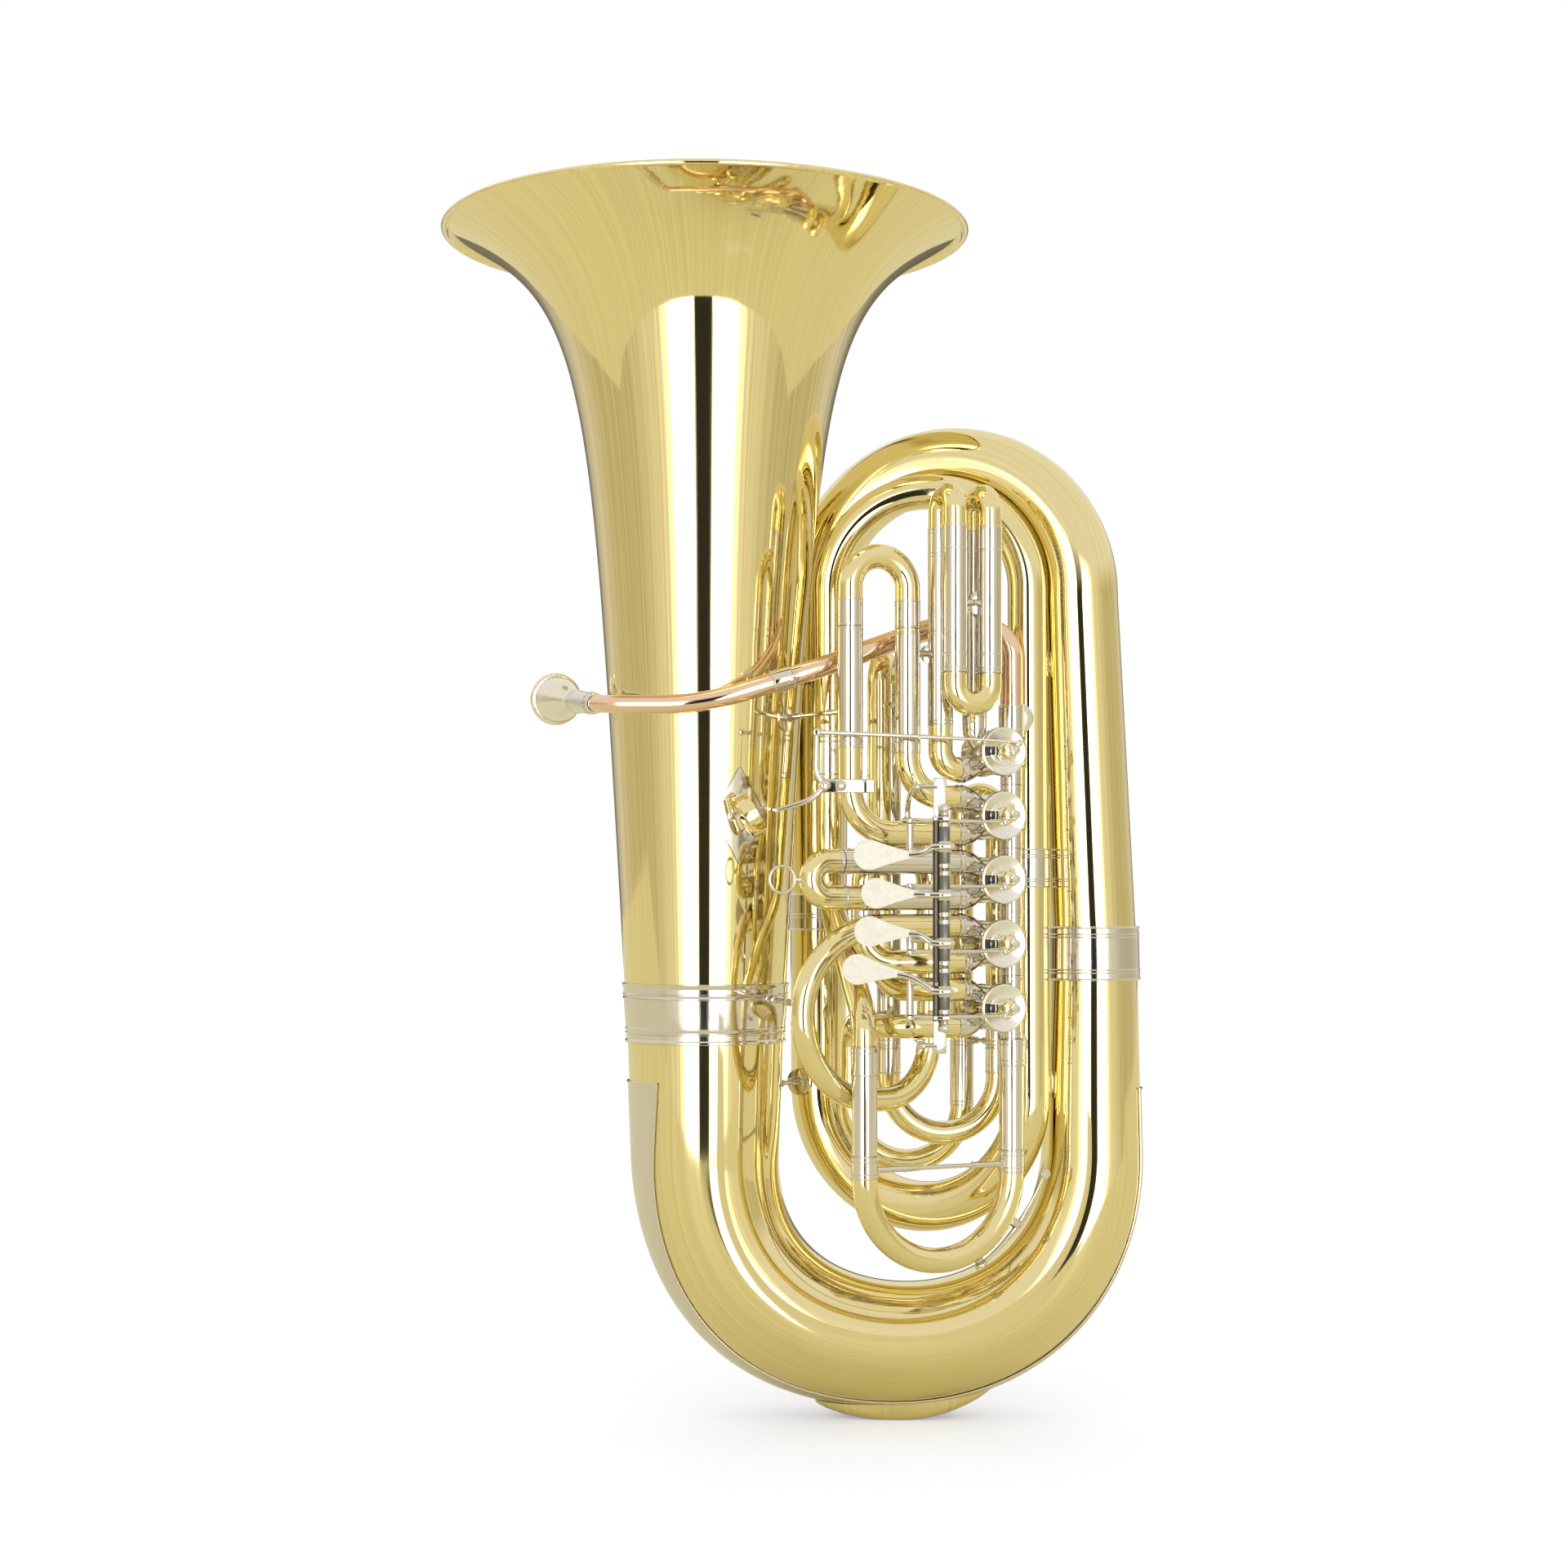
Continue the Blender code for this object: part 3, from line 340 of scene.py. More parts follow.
def turned(bm, origin, axis, profile, sides=40, closed=False):
    """A body of revolution. The profile is (distance along the axis, radius) pairs."""
    layer = bm.loops.layers.uv.verify()
    origin = Vector(origin)
    axis = Vector(axis).normalized()
    side = axis.orthogonal().normalized()
    if abs(axis.z) > 0.99:
        side = Vector((1, 0, 0))
    other = axis.cross(side)
    rows = []
    for distance, radius in profile:
        centre = origin + axis * distance
        if radius < 1e-6:
            rows.append([bm.verts.new(centre * MM)])
            continue
        row = []
        for j in range(sides):
            a = 2 * math.pi * j / sides
            row.append(bm.verts.new((centre + (side * math.cos(a) + other * math.sin(a)) * radius) * MM))
        rows.append(row)
    girth = 2 * math.pi * max(r for _, r in profile) * MM
    pairs = list(zip(rows, rows[1:]))
    steps = [((b[0] - a[0]) ** 2 + (b[1] - a[1]) ** 2) ** 0.5 * MM for a, b in zip(profile, profile[1:])]
    if closed:
        pairs.append((rows[-1], rows[0]))
        steps.append(steps[-1])
    v = 0.0
    for (low, high), step in zip(pairs, steps):
        for j in range(sides):
            n = (j + 1) % sides
            u0, u1 = girth * j / sides, girth * (j + 1) / sides
            if len(low) == 1 and len(high) == 1:
                continue
            if len(low) == 1:
                quad(bm, layer, (low[0], high[n], high[j]), ((u0, v), (u1, v + step), (u0, v + step)))
            elif len(high) == 1:
                quad(bm, layer, (low[j], low[n], high[0]), ((u0, v), (u1, v), (u0, v + step)))
            else:
                quad(bm, layer, (low[j], low[n], high[n], high[j]),
                     ((u0, v), (u1, v), (u1, v + step), (u0, v + step)))
        v += step
    if not closed:
        for row in (rows[0], rows[-1]):
            if len(row) > 1:
                bm.faces.new(row)


def bead(at, height=0.45, width=1.1, radius=0.0):
    """Profile points of one raised ring, on a wall of that radius."""
    return [(at - width / 2, radius), (at - width / 4, radius + height * 0.8), (at, radius + height),
            (at + width / 4, radius + height * 0.8), (at + width / 2, radius)]


def sleeve(bm, start, end, radius, beads=(), wall=0.5, edge=0.25, end_radius=None, sides=36, height=0.4):
    """A sleeve over a tube, with soft edges and raised rings at distances from its start."""
    start = Vector(start)
    end = Vector(end)
    long = (end - start).length
    last = radius if end_radius is None else end_radius

    def at(d):
        return radius + (last - radius) * d / long

    outer = [(0, radius - wall + 0.02), (0, radius - edge), (edge, at(edge))]
    for place in sorted(d if d >= 0 else long + d for d in beads):
        outer += bead(place, height, 1.1, at(place))
    outer += [(long - edge, at(long - edge)), (long, last - edge), (long, last - wall + 0.02)]
    turned(bm, start, end - start, outer, sides, closed=True)


def upright(bm, leg, low, high, *shape, **more):
    """A sleeve on an upright tube, between two heights above leg."""
    sleeve(bm, leg + UP * low, leg + UP * high, *shape, **more)


def flange(bm, centre, facing, radius=11.0, thick=0.9):
    """A thin domed disc, soldered on under the end of a brace."""
    dome = [(-thick, 0), (-thick, radius), (0, radius), (thick * 0.35, radius * 0.93),
            (thick * 0.8, radius * 0.5), (thick, 0)]
    turned(bm, centre, facing, dome, 36)


def brace(bm, start, end, thin=1.9, thick=2.6, grip=14.0):
    """A stay with thick turned ends and a thinner middle."""
    start = Vector(start)
    end = Vector(end)
    long = (end - start).length
    grip = min(grip, long * 0.3)
    half = [(0, 0), (0, thick + 0.7), (1.2, thick + 0.7), (1.6, thick), (grip, thick),
            (grip + 0.4, thick + 0.4), (grip + 1.4, thick + 0.4), (grip + 1.8, thin)]
    turned(bm, start, end - start, half + [(long - d, r) for d, r in reversed(half)], 20)


def round_box(bm, centre, size, basis=None, soft=0.5):
    """A block with rounded edges. basis holds the directions of its width, depth and height."""
    made = bmesh.new()
    bmesh.ops.create_cube(made, size=1)
    bmesh.ops.scale(made, verts=made.verts, vec=size)
    bmesh.ops.bevel(made, geom=made.edges[:], offset=soft, segments=3, affect="EDGES", profile=0.5)
    turn = Matrix(basis).transposed() if basis else Matrix.Identity(3)
    layer = bm.loops.layers.uv.verify()
    table = {}
    for vert in made.verts:
        table[vert] = bm.verts.new((Vector(centre) + turn @ vert.co) * MM)
    for face in made.faces:
        copied = bm.faces.new([table[v] for v in face.verts])
        for loop, vert in zip(copied.loops, face.verts):
            loop[layer].uv = ((vert.co.x + vert.co.y) * MM, (vert.co.z + vert.co.y * 0.3) * MM)
    made.free()


def turned_basis(degrees):
    """Directions of a block's width, depth and height, turned about the upright."""
    c, s = math.cos(math.radians(degrees)), math.sin(math.radians(degrees))
    return Vector((c, s, 0)), Vector((-s, c, 0)), UP


def screw(bm, centre, facing, radius=1.8, tall=1.2, slot_angle=0.6):
    """A cheese-head screw, its slot cut across the head."""
    facing = Vector(facing).normalized()
    right = facing.cross(UP)
    right = right.normalized() if right.length > 0.1 else Vector((1, 0, 0))
    across = Matrix.Rotation(slot_angle, 3, facing) @ right
    along = facing.cross(across)
    for side in (-1, 1):
        arc = []
        for k in range(13):
            a = -math.pi / 2 + math.pi * k / 12
            out = side * (radius * math.cos(a) * 0.97 + 0.25)
            arc.append(across * out + along * (radius * math.sin(a) * 0.97))
        prism(bm, [Vector(centre) + p for p in arc], facing, -1.0, tall)
    turned(bm, centre, facing, [(-1, 0), (-1, radius), (tall * 0.45, radius), (tall * 0.5, radius - 0.1),
                                (tall * 0.5, 0)], 24)


def prism(bm, outline, direction, low, high):
    """A flat plate: the outline moved along a direction."""
    layer = bm.loops.layers.uv.verify()
    direction = Vector(direction).normalized()
    rows = [[bm.verts.new((p + direction * d) * MM) for p in outline] for d in (low, high)]
    count = len(outline)
    for j in range(count):
        n = (j + 1) % count
        marks = ((j * MM, low * MM), ((j + 1) * MM, low * MM), ((j + 1) * MM, high * MM), (j * MM, high * MM))
        quad(bm, layer, (rows[0][j], rows[0][n], rows[1][n], rows[1][j]), marks)
    right = (outline[1] - outline[0]).normalized()
    across = direction.cross(right)
    for row in rows:
        face = bm.faces.new(row)
        for loop in face.loops:
            loop[layer].uv = (loop.vert.co.dot(right), loop.vert.co.dot(across))


def sheet(bm, inner, outer, upright=False):
    """A closed sheet between two equal grids of points. Its marks run by grid, or by x and z if upright."""
    layer = bm.loops.layers.uv.verify()
    grids = [[[bm.verts.new(p * MM) for p in row] for row in grid] for grid in (inner, outer)]
    rows = len(inner)
    columns = len(inner[0])
    for grid in grids:
        for k in range(rows - 1):
            for j in range(columns - 1):
                corners = [grid[b][a] for a, b in cell(j, k)]
                marks = [(a * 0.004, b * 0.004) for a, b in cell(j, k)]
                if upright:
                    marks = [(corner.co.x, corner.co.z) for corner in corners]
                quad(bm, layer, corners, marks)
    low, high = grids
    for k in range(rows - 1):
        for j in (0, columns - 1):
            bm.faces.new((low[k][j], high[k][j], high[k + 1][j], low[k + 1][j]))
    for k in (0, rows - 1):
        for j in range(columns - 1):
            bm.faces.new((low[k][j], high[k][j], high[k][j + 1], low[k][j + 1]))


def new_object(name, bm, material):
    mesh = bpy.data.meshes.new(name)
    bm.to_mesh(mesh)
    bm.free()
    mesh.materials.append(material)
    obj = bpy.data.objects.new(name, mesh)
    bpy.context.scene.collection.objects.link(obj)
    return obj


def piece(name, bm, material, body="horn", replaces=()):
    """Turns a bmesh into a piece that rides on a body and stands for CAD nodes: True means its namesake."""
    bmesh.ops.recalc_face_normals(bm, faces=bm.faces)
    obj = new_object(name, bm, material)
    obj.data.shade_smooth()
    obj.data.set_sharp_from_angle(angle=math.radians(38))
    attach(obj, body)
    if replaces:
        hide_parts(*([name] if replaces is True else replaces))


def simple_tube(name, points, radii, material=BRASS, body="horn", replaces=(), wall=0.8, sides=36,
                across=None):
    bm = bmesh.new()
    sweep(bm, points, radii, wall, sides, across)
    piece(name, bm, material, body, replaces)


def simple_turn(name, origin, axis, profile, sides, material, body="horn", replaces=(), closed=True):
    bm = bmesh.new()
    turned(bm, origin, axis, profile, sides, closed)
    piece(name, bm, material, body, replaces)


# The outer bugle


def bell_radius(z):
    below = RIM_Z - z
    taper = 57.4 + 0.0544 * (z - BOW_CENTRE_Z)
    return taper + 53.7 * math.exp(-below / 32) + 58.8 * math.exp(-below / 90)


def build_bell():
    heights = [BELL_JOINT_Z - 6 + 12 * k for k in range(44)]
    heights += [heights[-1] + 4 * k for k in range(1, 20)]
    heights = [z for z in heights if z < 905] + [905 + 2.6 * k for k in range(16)] + [946.4]
    outer = [(z, bell_radius(z)) for z in heights]
    inner = [(z + 0.3, bell_radius(z) - 1.0) for z in heights]
    wire = (945.9, 207.9)
    roll = []
    for k in range(22):
        a = math.radians(200 + 12.6 * k)
        roll.append((wire[0] + 2.3 * math.sin(a), wire[1] + 2.3 * math.cos(a)))
    foot = (-LEG_X, 0, 0)
    simple_turn("bell", foot, UP, outer + roll + inner[::-1], 144, BIG_BRASS, replaces=True)
    deep = [z for z in heights if z < 872]
    liner = [(z, bell_radius(z) - 1.06) for z in deep] + [(z, bell_radius(z) - 1.3) for z in deep[::-1]]
    simple_turn("bell_throat", foot, UP, liner, 96, SATIN)
    low, high = 299.0, 346.5
    wall = []
    lines = (7.8, 8.6, 11.4, 12.0, 35.5, 36.1, 38.3, 39.1)
    for d in (0, 0.6, 2.2, 3.4, 7.2, 7.8, 8.6, 9.2, 9.8, 11.4, 12.0, 12.6, 24, 34.9, 35.5, 36.1, 37.7, 38.3,
              39.1, 39.7, 43, 44.6, 46.2, 47.0, 47.5):
        raised = 1.0 if d in (0.6, 2.2, 46.2, 47.0) else 0.7 if d in lines else 0
        z = low + d
        base = 59.0 + 0.035 * (z - BOW_CENTRE_Z) if z < BELL_JOINT_Z else bell_radius(z)
        wall.append((z, max(base, bell_radius(z) - 0.9) + 1.3 + raised))
    wall = [(low, wall[0][1] - 1.2), *wall, (high, wall[-1][1] - 1.2)]
    simple_turn("bell_garland", foot, UP, wall, 112, NICKEL, replaces=True)


def corner_swell(x, z):
    """How far the bow's corners stand out beyond a true half circle, and how much thicker they are."""
    if z >= BOW_CENTRE_Z:
        return 0.0, 0.0
    amount = math.sin(2 * math.atan2(z - BOW_CENTRE_Z, x)) ** 2
    return (5.4 * amount, 1.7 * amount) if x < 0 else (3.0 * amount, 0.4 * amount)


def bottom_bow_path(step):
    turn = [(-LEG_X, 0, BELL_JOINT_Z - 0.3), (-LEG_X, 0, BOW_CENTRE_Z - LEG_X),
            (LEG_X, 0, BOW_CENTRE_Z - LEG_X), (LEG_X, 0, BRANCH_JOINT_Z)]
    points = bend([(turn[0], 0), (turn[1], LEG_X), (turn[2], LEG_X), (turn[3], 0)], step)
    centre = Vector((0, 0, BOW_CENTRE_Z))
    return [p + (p - centre).normalized() * corner_swell(p.x, p.z)[0] for p in points]


def bottom_bow_radii(points, extra=0.0):
    radii = []
    for point in points:
        climb = max(point.z - BOW_CENTRE_Z, 0.0)
        if climb and point.x < 0:
            r = 59.0 + 0.035 * climb
        elif climb:
            r = 40.0 - 0.0235 * climb
        else:
            share = math.atan2(point.z - BOW_CENTRE_Z, point.x) / math.pi % 2 - 1
            r = 59.0 - 19.0 * share
        radii.append(r + extra + corner_swell(point.x, point.z)[1])
    return radii


def around_bow(point, outward, angle, radius):
    return point + (outward * math.cos(angle) + Vector((0, 1, 0)) * math.sin(angle)) * radius


def build_bow_guard():
    """Nickel shell over the bow's outer crown, with a wire along its edge."""
    path = [point for point in bottom_bow_path(2) if point.z < BOW_CENTRE_Z + 1]
    climb = GUARD_TOP_Z - BOW_CENTRE_Z
    left = [Vector((-LEG_X, 0, BOW_CENTRE_Z + (climb + 6) * k / 8)) for k in range(8, 0, -1)]
    right = [Vector((LEG_X, 0, BOW_CENTRE_Z + climb * k / 8)) for k in range(1, 9)]
    path = [*left, *path, *right]
    along = lengths_along(path)
    layers = []
    for extra in (0.15, 1.1):
        grid = []
        for k, (point, radius) in enumerate(zip(path, bottom_bow_radii(path, extra))):
            outward = Vector((point.x, 0, min(point.z - BOW_CENTRE_Z, 0))).normalized()
            share = along[k] / along[-1]
            reach = math.radians(24 + 30 * (1 - share) ** 2)
            grid.append([around_bow(point, outward, reach * j / 24, radius) for j in range(-24, 25)])
        layers.append(grid)
    bm = bmesh.new()
    sheet(bm, *layers)
    for column in (0, -1):
        sweep(bm, [row[column] for row in layers[1]], 1.0, 0, 10)
    for row in (0, -1):
        sweep(bm, layers[1][row], 1.0, 0, 10)
    piece("bow_guard", bm, NICKEL, replaces=True)


def build_foot_plate():
    """Brass cap between the guard and the floor."""
    bm = bmesh.new()
    layer = bm.loops.layers.uv.verify()
    sides = 96
    rows = []
    levels = [(0.0, 0.9), (0.04, 0.94), (0.14, 0.97), (0.4, 0.99), (0.7, 0.997), (1.0, 1.0)]
    for climb, grow in levels:
        row = []
        for k in range(sides):
            a = 2 * math.pi * k / sides
            x = 4.0 + 71.0 * grow * math.cos(a)
            y = 22.5 * grow * math.sin(a)
            share = 0.5 + x / (2 * LEG_X) * 0.64
            bow = 59.0 - 19.0 * share + 1.3
            out, thick = corner_swell(x, BOW_CENTRE_Z - 200)
            reach = LEG_X + out + math.sqrt((bow + thick) ** 2 - y * y)
            under = BOW_CENTRE_Z - math.sqrt(reach * reach - x * x)
            low = 9.7 * max((-10 - x) / 56, 0) ** 2 + 18.5 * max((x - 2) / 68, 0) ** 2
            low = min(low, under - 2.2)
            row.append(bm.verts.new(Vector((x, y, low + (under + 0.4 - low) * climb)) * MM))
        rows.append(row)
    for k, (low, high) in enumerate(zip(rows, rows[1:])):
        for j in range(sides):
            n = (j + 1) % sides
            marks = [(a * 0.003, b * 0.003) for a, b in cell(j, k)]
            quad(bm, layer, (low[j], low[n], high[n], high[j]), marks)
    bm.faces.new(rows[0])
    bm.faces.new(rows[-1])
    piece("foot_plate", bm, BIG_BRASS, replaces=True)


def build_outer_bugle():
    points = bottom_bow_path(2.5)
    simple_tube("bottom_bow", points, bottom_bow_radii(points), BIG_BRASS, replaces=True, sides=96)
    build_bow_guard()
    build_foot_plate()
    foot = Vector((LEG_X, 0, BRANCH_JOINT_Z + 0.3))
    head = Vector((*OUTER_TOP, TOP_JOINT_Z))
    leg = [foot, foot + UP * 3, *[foot.lerp(head, k / 10) for k in range(1, 10)], head - UP * 3, head]
    simple_tube("outer_branch", leg, tapered(leg, (0, 36.2), (1, 32.4)), BIG_BRASS, replaces=True, sides=72,
                across=(1, 0, 0))
    inner_top = Vector((*INNER_LEG, TOP_JOINT_Z))
    points = arch(head, inner_top, UP)
    simple_tube("top_bow", points, tapered(points, (0, 32.4), (0.5, 29.6), (1, 25.0)), BIG_BRASS,
                replaces=True, sides=72)
    third_top = Vector((THIRD_LEG[0] - 1.0, THIRD_LEG[1], TOP_JOINT_Z))
    third_foot = Vector((*THIRD_LEG, LOW_JOINT_Z))
    leg = [third_foot.lerp(third_top, k / 8) for k in range(9)]
    simple_tube("third_branch", leg, tapered(leg, (0, 16.8), (1, 15.1)), BIG_BRASS, replaces=True, sides=48,
                across=(1, 0, 0))
    inner_foot = Vector((*INNER_LEG, LOW_JOINT_Z))
    points = arch(third_foot, inner_foot, -UP)
    simple_tube("second_bottom_bow", points, tapered(points, (0, 16.9), (0.5, 20.2), (1, 22.4)), BIG_BRASS,
                replaces=True, sides=56)
    simple_tube("inner_branch", [inner_foot, inner_top], [22.4, 24.9], BIG_BRASS, replaces=True, sides=56,
                across=(1, 0, 0))
    first_top = Vector((*FIRST_LEG, TOP_JOINT_Z))
    points = arch(third_top, first_top, UP)
    simple_tube("second_top_bow", points, tapered(points, (0, 15.1), (1, 12.3)), BIG_BRASS, replaces=True,
                sides=48)
    slide_top = in_row(112, 301.5, 9)
    turn = Vector((*FIRST_LEG, 414))
    points = bend([(slide_top, 0), (slide_top + UP * 20, 34), (turn, 40), (first_top, 0)])
    simple_tube("first_branch", points, tapered(points, (0, 9.9), (0.4, 10.6), (1, 12.2)), replaces=True)
    bm = bmesh.new()
    rings = (1.2, 6.2, 8.6, -1.2, -6.2, -8.6)
    sleeve(bm, (LEG_X, 0, 348.6), (LEG_X - 0.4, 0, 391.6), 38.7, rings, 1.3, 0.4, 38.0, 80, 0.7)
    piece("branch_garland", bm, NICKEL, replaces=True)
    bm = bmesh.new()
    third = Vector((THIRD_LEG[0] - 0.4, THIRD_LEG[1], 0))
    upright(bm, third, 422, 453, 17.2, (1, 5, 7, -1, -5, -7), 1.2, 0.3, 17.1, 56, 0.5)
    inner = Vector((*INNER_LEG, 0))
    upright(bm, inner, 388, 418, 24.5, (1, -17, -19.5, -1), 1.2, 0.3, 24.6, 64, 0.5)
    first = Vector((*FIRST_LEG, 0))
    upright(bm, first, 507, 543, 12.6, (1.2, 5, -5, -1.2), 1.2, 0.3, 12.6, 40, 0.5)
    piece("branch_ferrules", bm, NICKEL)


# Valves


def on_axis(number, forward):
    return in_row(0, VALVE_Z[number], forward)


def row_sleeve(bm, z, low, high, *shape, **more):
    """A sleeve on a level tube of the valve row, between two distances along the row."""
    sleeve(bm, in_row(low, z), in_row(high, z), *shape, **more)


def build_casing(number):
    z = VALVE_Z[number]
    centre = on_axis(number, 0)
    flip = -1 if number == 5 else 1
    bm = bmesh.new()
    body = [(-19, 0), (-19, 9), (-18.6, 16.8), (-17.6, 18), (-15.5, 18), (-15, 17.4), (14.8, 17.4),
            (15.2, 18.4), (16.2, 18.9), (21.2, 18.9), (21.9, 18.5), (22.1, 17.9), (21.9, 17.3), (21.7, 16.9),
            (22.0, 16.5), (22.2, 10), (22.3, 0)]
    turned(bm, centre, NORMAL, body, 72)
    half = 24.6
    line = in_row(MAIN_LINE, z)
    sweep(bm, [line - UP * half, line + UP * half], 8.3, 0.8, 36)
    for d in (-half + 1.0, -half + 4.2, half - 4.2, half - 1.0):
        upright(bm, line, d - 0.7, d + 0.7, 8.75, (), 0.5, 0.3)
    saddle = [(-9.5, 9.0), (-8.5, 10.2), (8.5, 10.2), (9.5, 9.0)]
    turned(bm, line, UP, saddle, 36)
    for side in (-1,) if number == 5 else (-1, 1):
        end = 29.0 if number == 5 else 26.6 if (number, side) in ((3, -1), (4, 1)) else 31.0
        cone = [(9, 8.8, 4.6), (12, 9.9, 6.2), (15, 11.0, 7.5), (18, 12.0, 8.5), (21, 12.9, 9.2),
                (24, 13.6, 9.7), (26, 13.9, 9.85), (end, 13.9, 9.85)]
        sweep(bm, [in_row(s, z + side * h) for s, h, _ in cone], [r for _, _, r in cone], 0.8, 36, UP)
        for low, high in ((end - 1.4, end), (end - 5.0, end - 3.6)):
            row_sleeve(bm, z + side * PORT_Z, low, high, 10.2, (), 0.5, 0.2)
    if number == 5:
        up = [in_row(12, z + 4), in_row(13.6, z + 9), in_row(15, z + 15), in_row(15, z + 27)]
        sweep(bm, up, [6, 7.6, 9, 9.4], 0.8, 36)
    piece(f"valve_casing_{number}", bm, NICKEL, replaces=True)
    face = on_axis(number, 22.2)
    right = -ALONG
    square = (right, NORMAL, UP)

    def spot(across, up, out):
        return face + right * across + UP * (flip * up) + NORMAL * out

    bm = bmesh.new()
    turned(bm, face, NORMAL, [(-0.6, 0), (-0.6, 18.2), (0, 18.2), (0.25, 17.9), (0.3, 17.2), (0.1, 16.9),
                              (0.1, 0)], 72)
    angles = [math.radians(-25 + 7.5 * k) for k in range(31)]
    plate = [spot(11.2 * math.cos(t) - 0.5, 11.2 * math.sin(t), 0) for t in angles]
    prism(bm, plate, NORMAL, -0.5, 0.9)
    for across, height in ((-3.6, 7.3), (6.2, 7.5)):
        screw(bm, spot(across, height, 0.6), NORMAL, 1.7, 1.5, 0.7 + across)
    round_box(bm, spot(-9.6, 0, 2.2), (1.0, 4.4, 7.4), square, 0.3)
    round_box(bm, spot(-5.6, 1.0, 1.0), (2.2, 2.4, 6.4), square, 0.5)
    piece(f"valve_cap_plate_{number}", bm, CAP)
    bm = bmesh.new()
    for shift in (-10.9, -8.2):
        round_box(bm, spot(shift, 0, 2.0), (1.7, 3.8, 6.6), square, 0.7)
    piece(f"valve_bumpers_{number}", bm, RUBBER)


def build_rotor(number):
    name = f"rotor_{number}"
    flip = -1 if number == 5 else 1
    base = on_axis(number, 0)
    drum = [(-16, 0), (-16, 15.2), (-15.6, 15.6), (15.6, 15.6), (16, 15.2), (16, 3.2), (22.4, 3.2),
            (22.8, 6.4), (24.2, 6.9), (26.6, 6.9), (27.2, 6.2), (28.2, 5.2), (31, 5.2), (33, 5.6),
            (34.4, 5.4), (35, 4.2), (35.2, 0)]
    simple_turn(name, base, NORMAL, drum, 40, GILT, name, True, closed=False)
    bm = bmesh.new()
    stem = [(34.8, 0), (34.8, 3.4), (37.6, 3.5), (38.2, 2.9), (40, 2.9), (40.4, 3.4), (42.4, 3.4),
            (42.9, 2.9), (43, 0)]
    turned(bm, base, NORMAL, stem, 28)
    screw(bm, base + NORMAL * 43, NORMAL, 2.7, 1.0, 0.9)
    pin = in_row(PIN_OFFSET * flip, VALVE_Z[number] - PIN_OFFSET * flip, 0)
    arm = [base + NORMAL * 31.8, base.lerp(pin, 0.55) + NORMAL * 31.8, pin + NORMAL * 31.8]
    sweep(bm, arm, [3.4, 2.4, 2.7], 0, 20, NORMAL, (0.55, 1))
    turned(bm, pin, NORMAL, [(30.6, 0), (30.6, 2.6), (33.0, 2.6), (33.4, 1.4), (34.6, 1.4), (34.6, 0)], 24)
    tail = base + (base - pin).normalized() * 8.2
    sweep(bm, [base + NORMAL * 25.6, base.lerp(tail, 0.5) + NORMAL * 25.6, tail + NORMAL * 25.2],
          [3.0, 2.6, 2.2], 0, 20, NORMAL, (0.6, 1))
    piece(name + "_stem", bm, NICKEL, name)


def ball_end(bm, centre, axis, radius=2.9, tall=3.6):
    """The eye of a link rod: a rounded collar with a screw through it."""
    h = tall / 2
    profile = [(-h, 0), (-h, radius * 0.6), (-h * 0.7, radius * 0.92), (0, radius), (h * 0.7, radius * 0.92),
               (h, radius * 0.6), (h, radius * 0.42), (h - 0.5, radius * 0.4), (h - 0.5, 0)]
    turned(bm, centre, axis, profile, 28)


def build_link_rod(number):
    z = VALVE_Z[number]
    bm = bmesh.new()
    if number == 5:
        pin = in_row(-PIN_OFFSET, z + PIN_OFFSET, PIN_N)
        far = THUMB_BALL.copy()
        ball_end(bm, far, (0, -1, 0), 3.1, 4)
        mid = far.lerp(pin, 0.86) + UP * 1.4
        points = smooth_path([far, mid, pin], 3)
    else:
        pin = in_row(PIN_OFFSET, z - PIN_OFFSET, PIN_N)
        far = POST + UP * (z - PIN_OFFSET)
        ball_end(bm, far, UP, 3.1, 4)
        points = smooth_path([far, far.lerp(pin, 0.8) + UP * 0.2, pin], 3)
    ball_end(bm, pin, NORMAL, 3.0, 3.2)
    sweep(bm, points, tapered(points, (0, 1.75), (0.62, 1.6), (0.72, 1.2), (1, 1.1)), 0, 16)
    toward = (pin - far).normalized()
    sleeve(bm, far + toward * 2.6, far + toward * 8, 2.1, (), 0.8, 0.3, sides=16)
    sleeve(bm, far.lerp(pin, 0.5) - toward * 1.2, far.lerp(pin, 0.5) + toward * 1.2, 2.1, (), 0.8, 0.3,
           sides=16)
    piece(f"link_rod_{number}", bm, NICKEL, f"link_rod_{number}", True)


# The upright legs that the third and fourth slides run in
VALVE_3_RISE, VALVE_3_FALL = in_row(40, 0, -30), in_row(100, 0, -20)
VALVE_4_DOWN, VALVE_4_FAR = Vector((-8.4, -16, 0)), Vector((78.7, -8, 0))


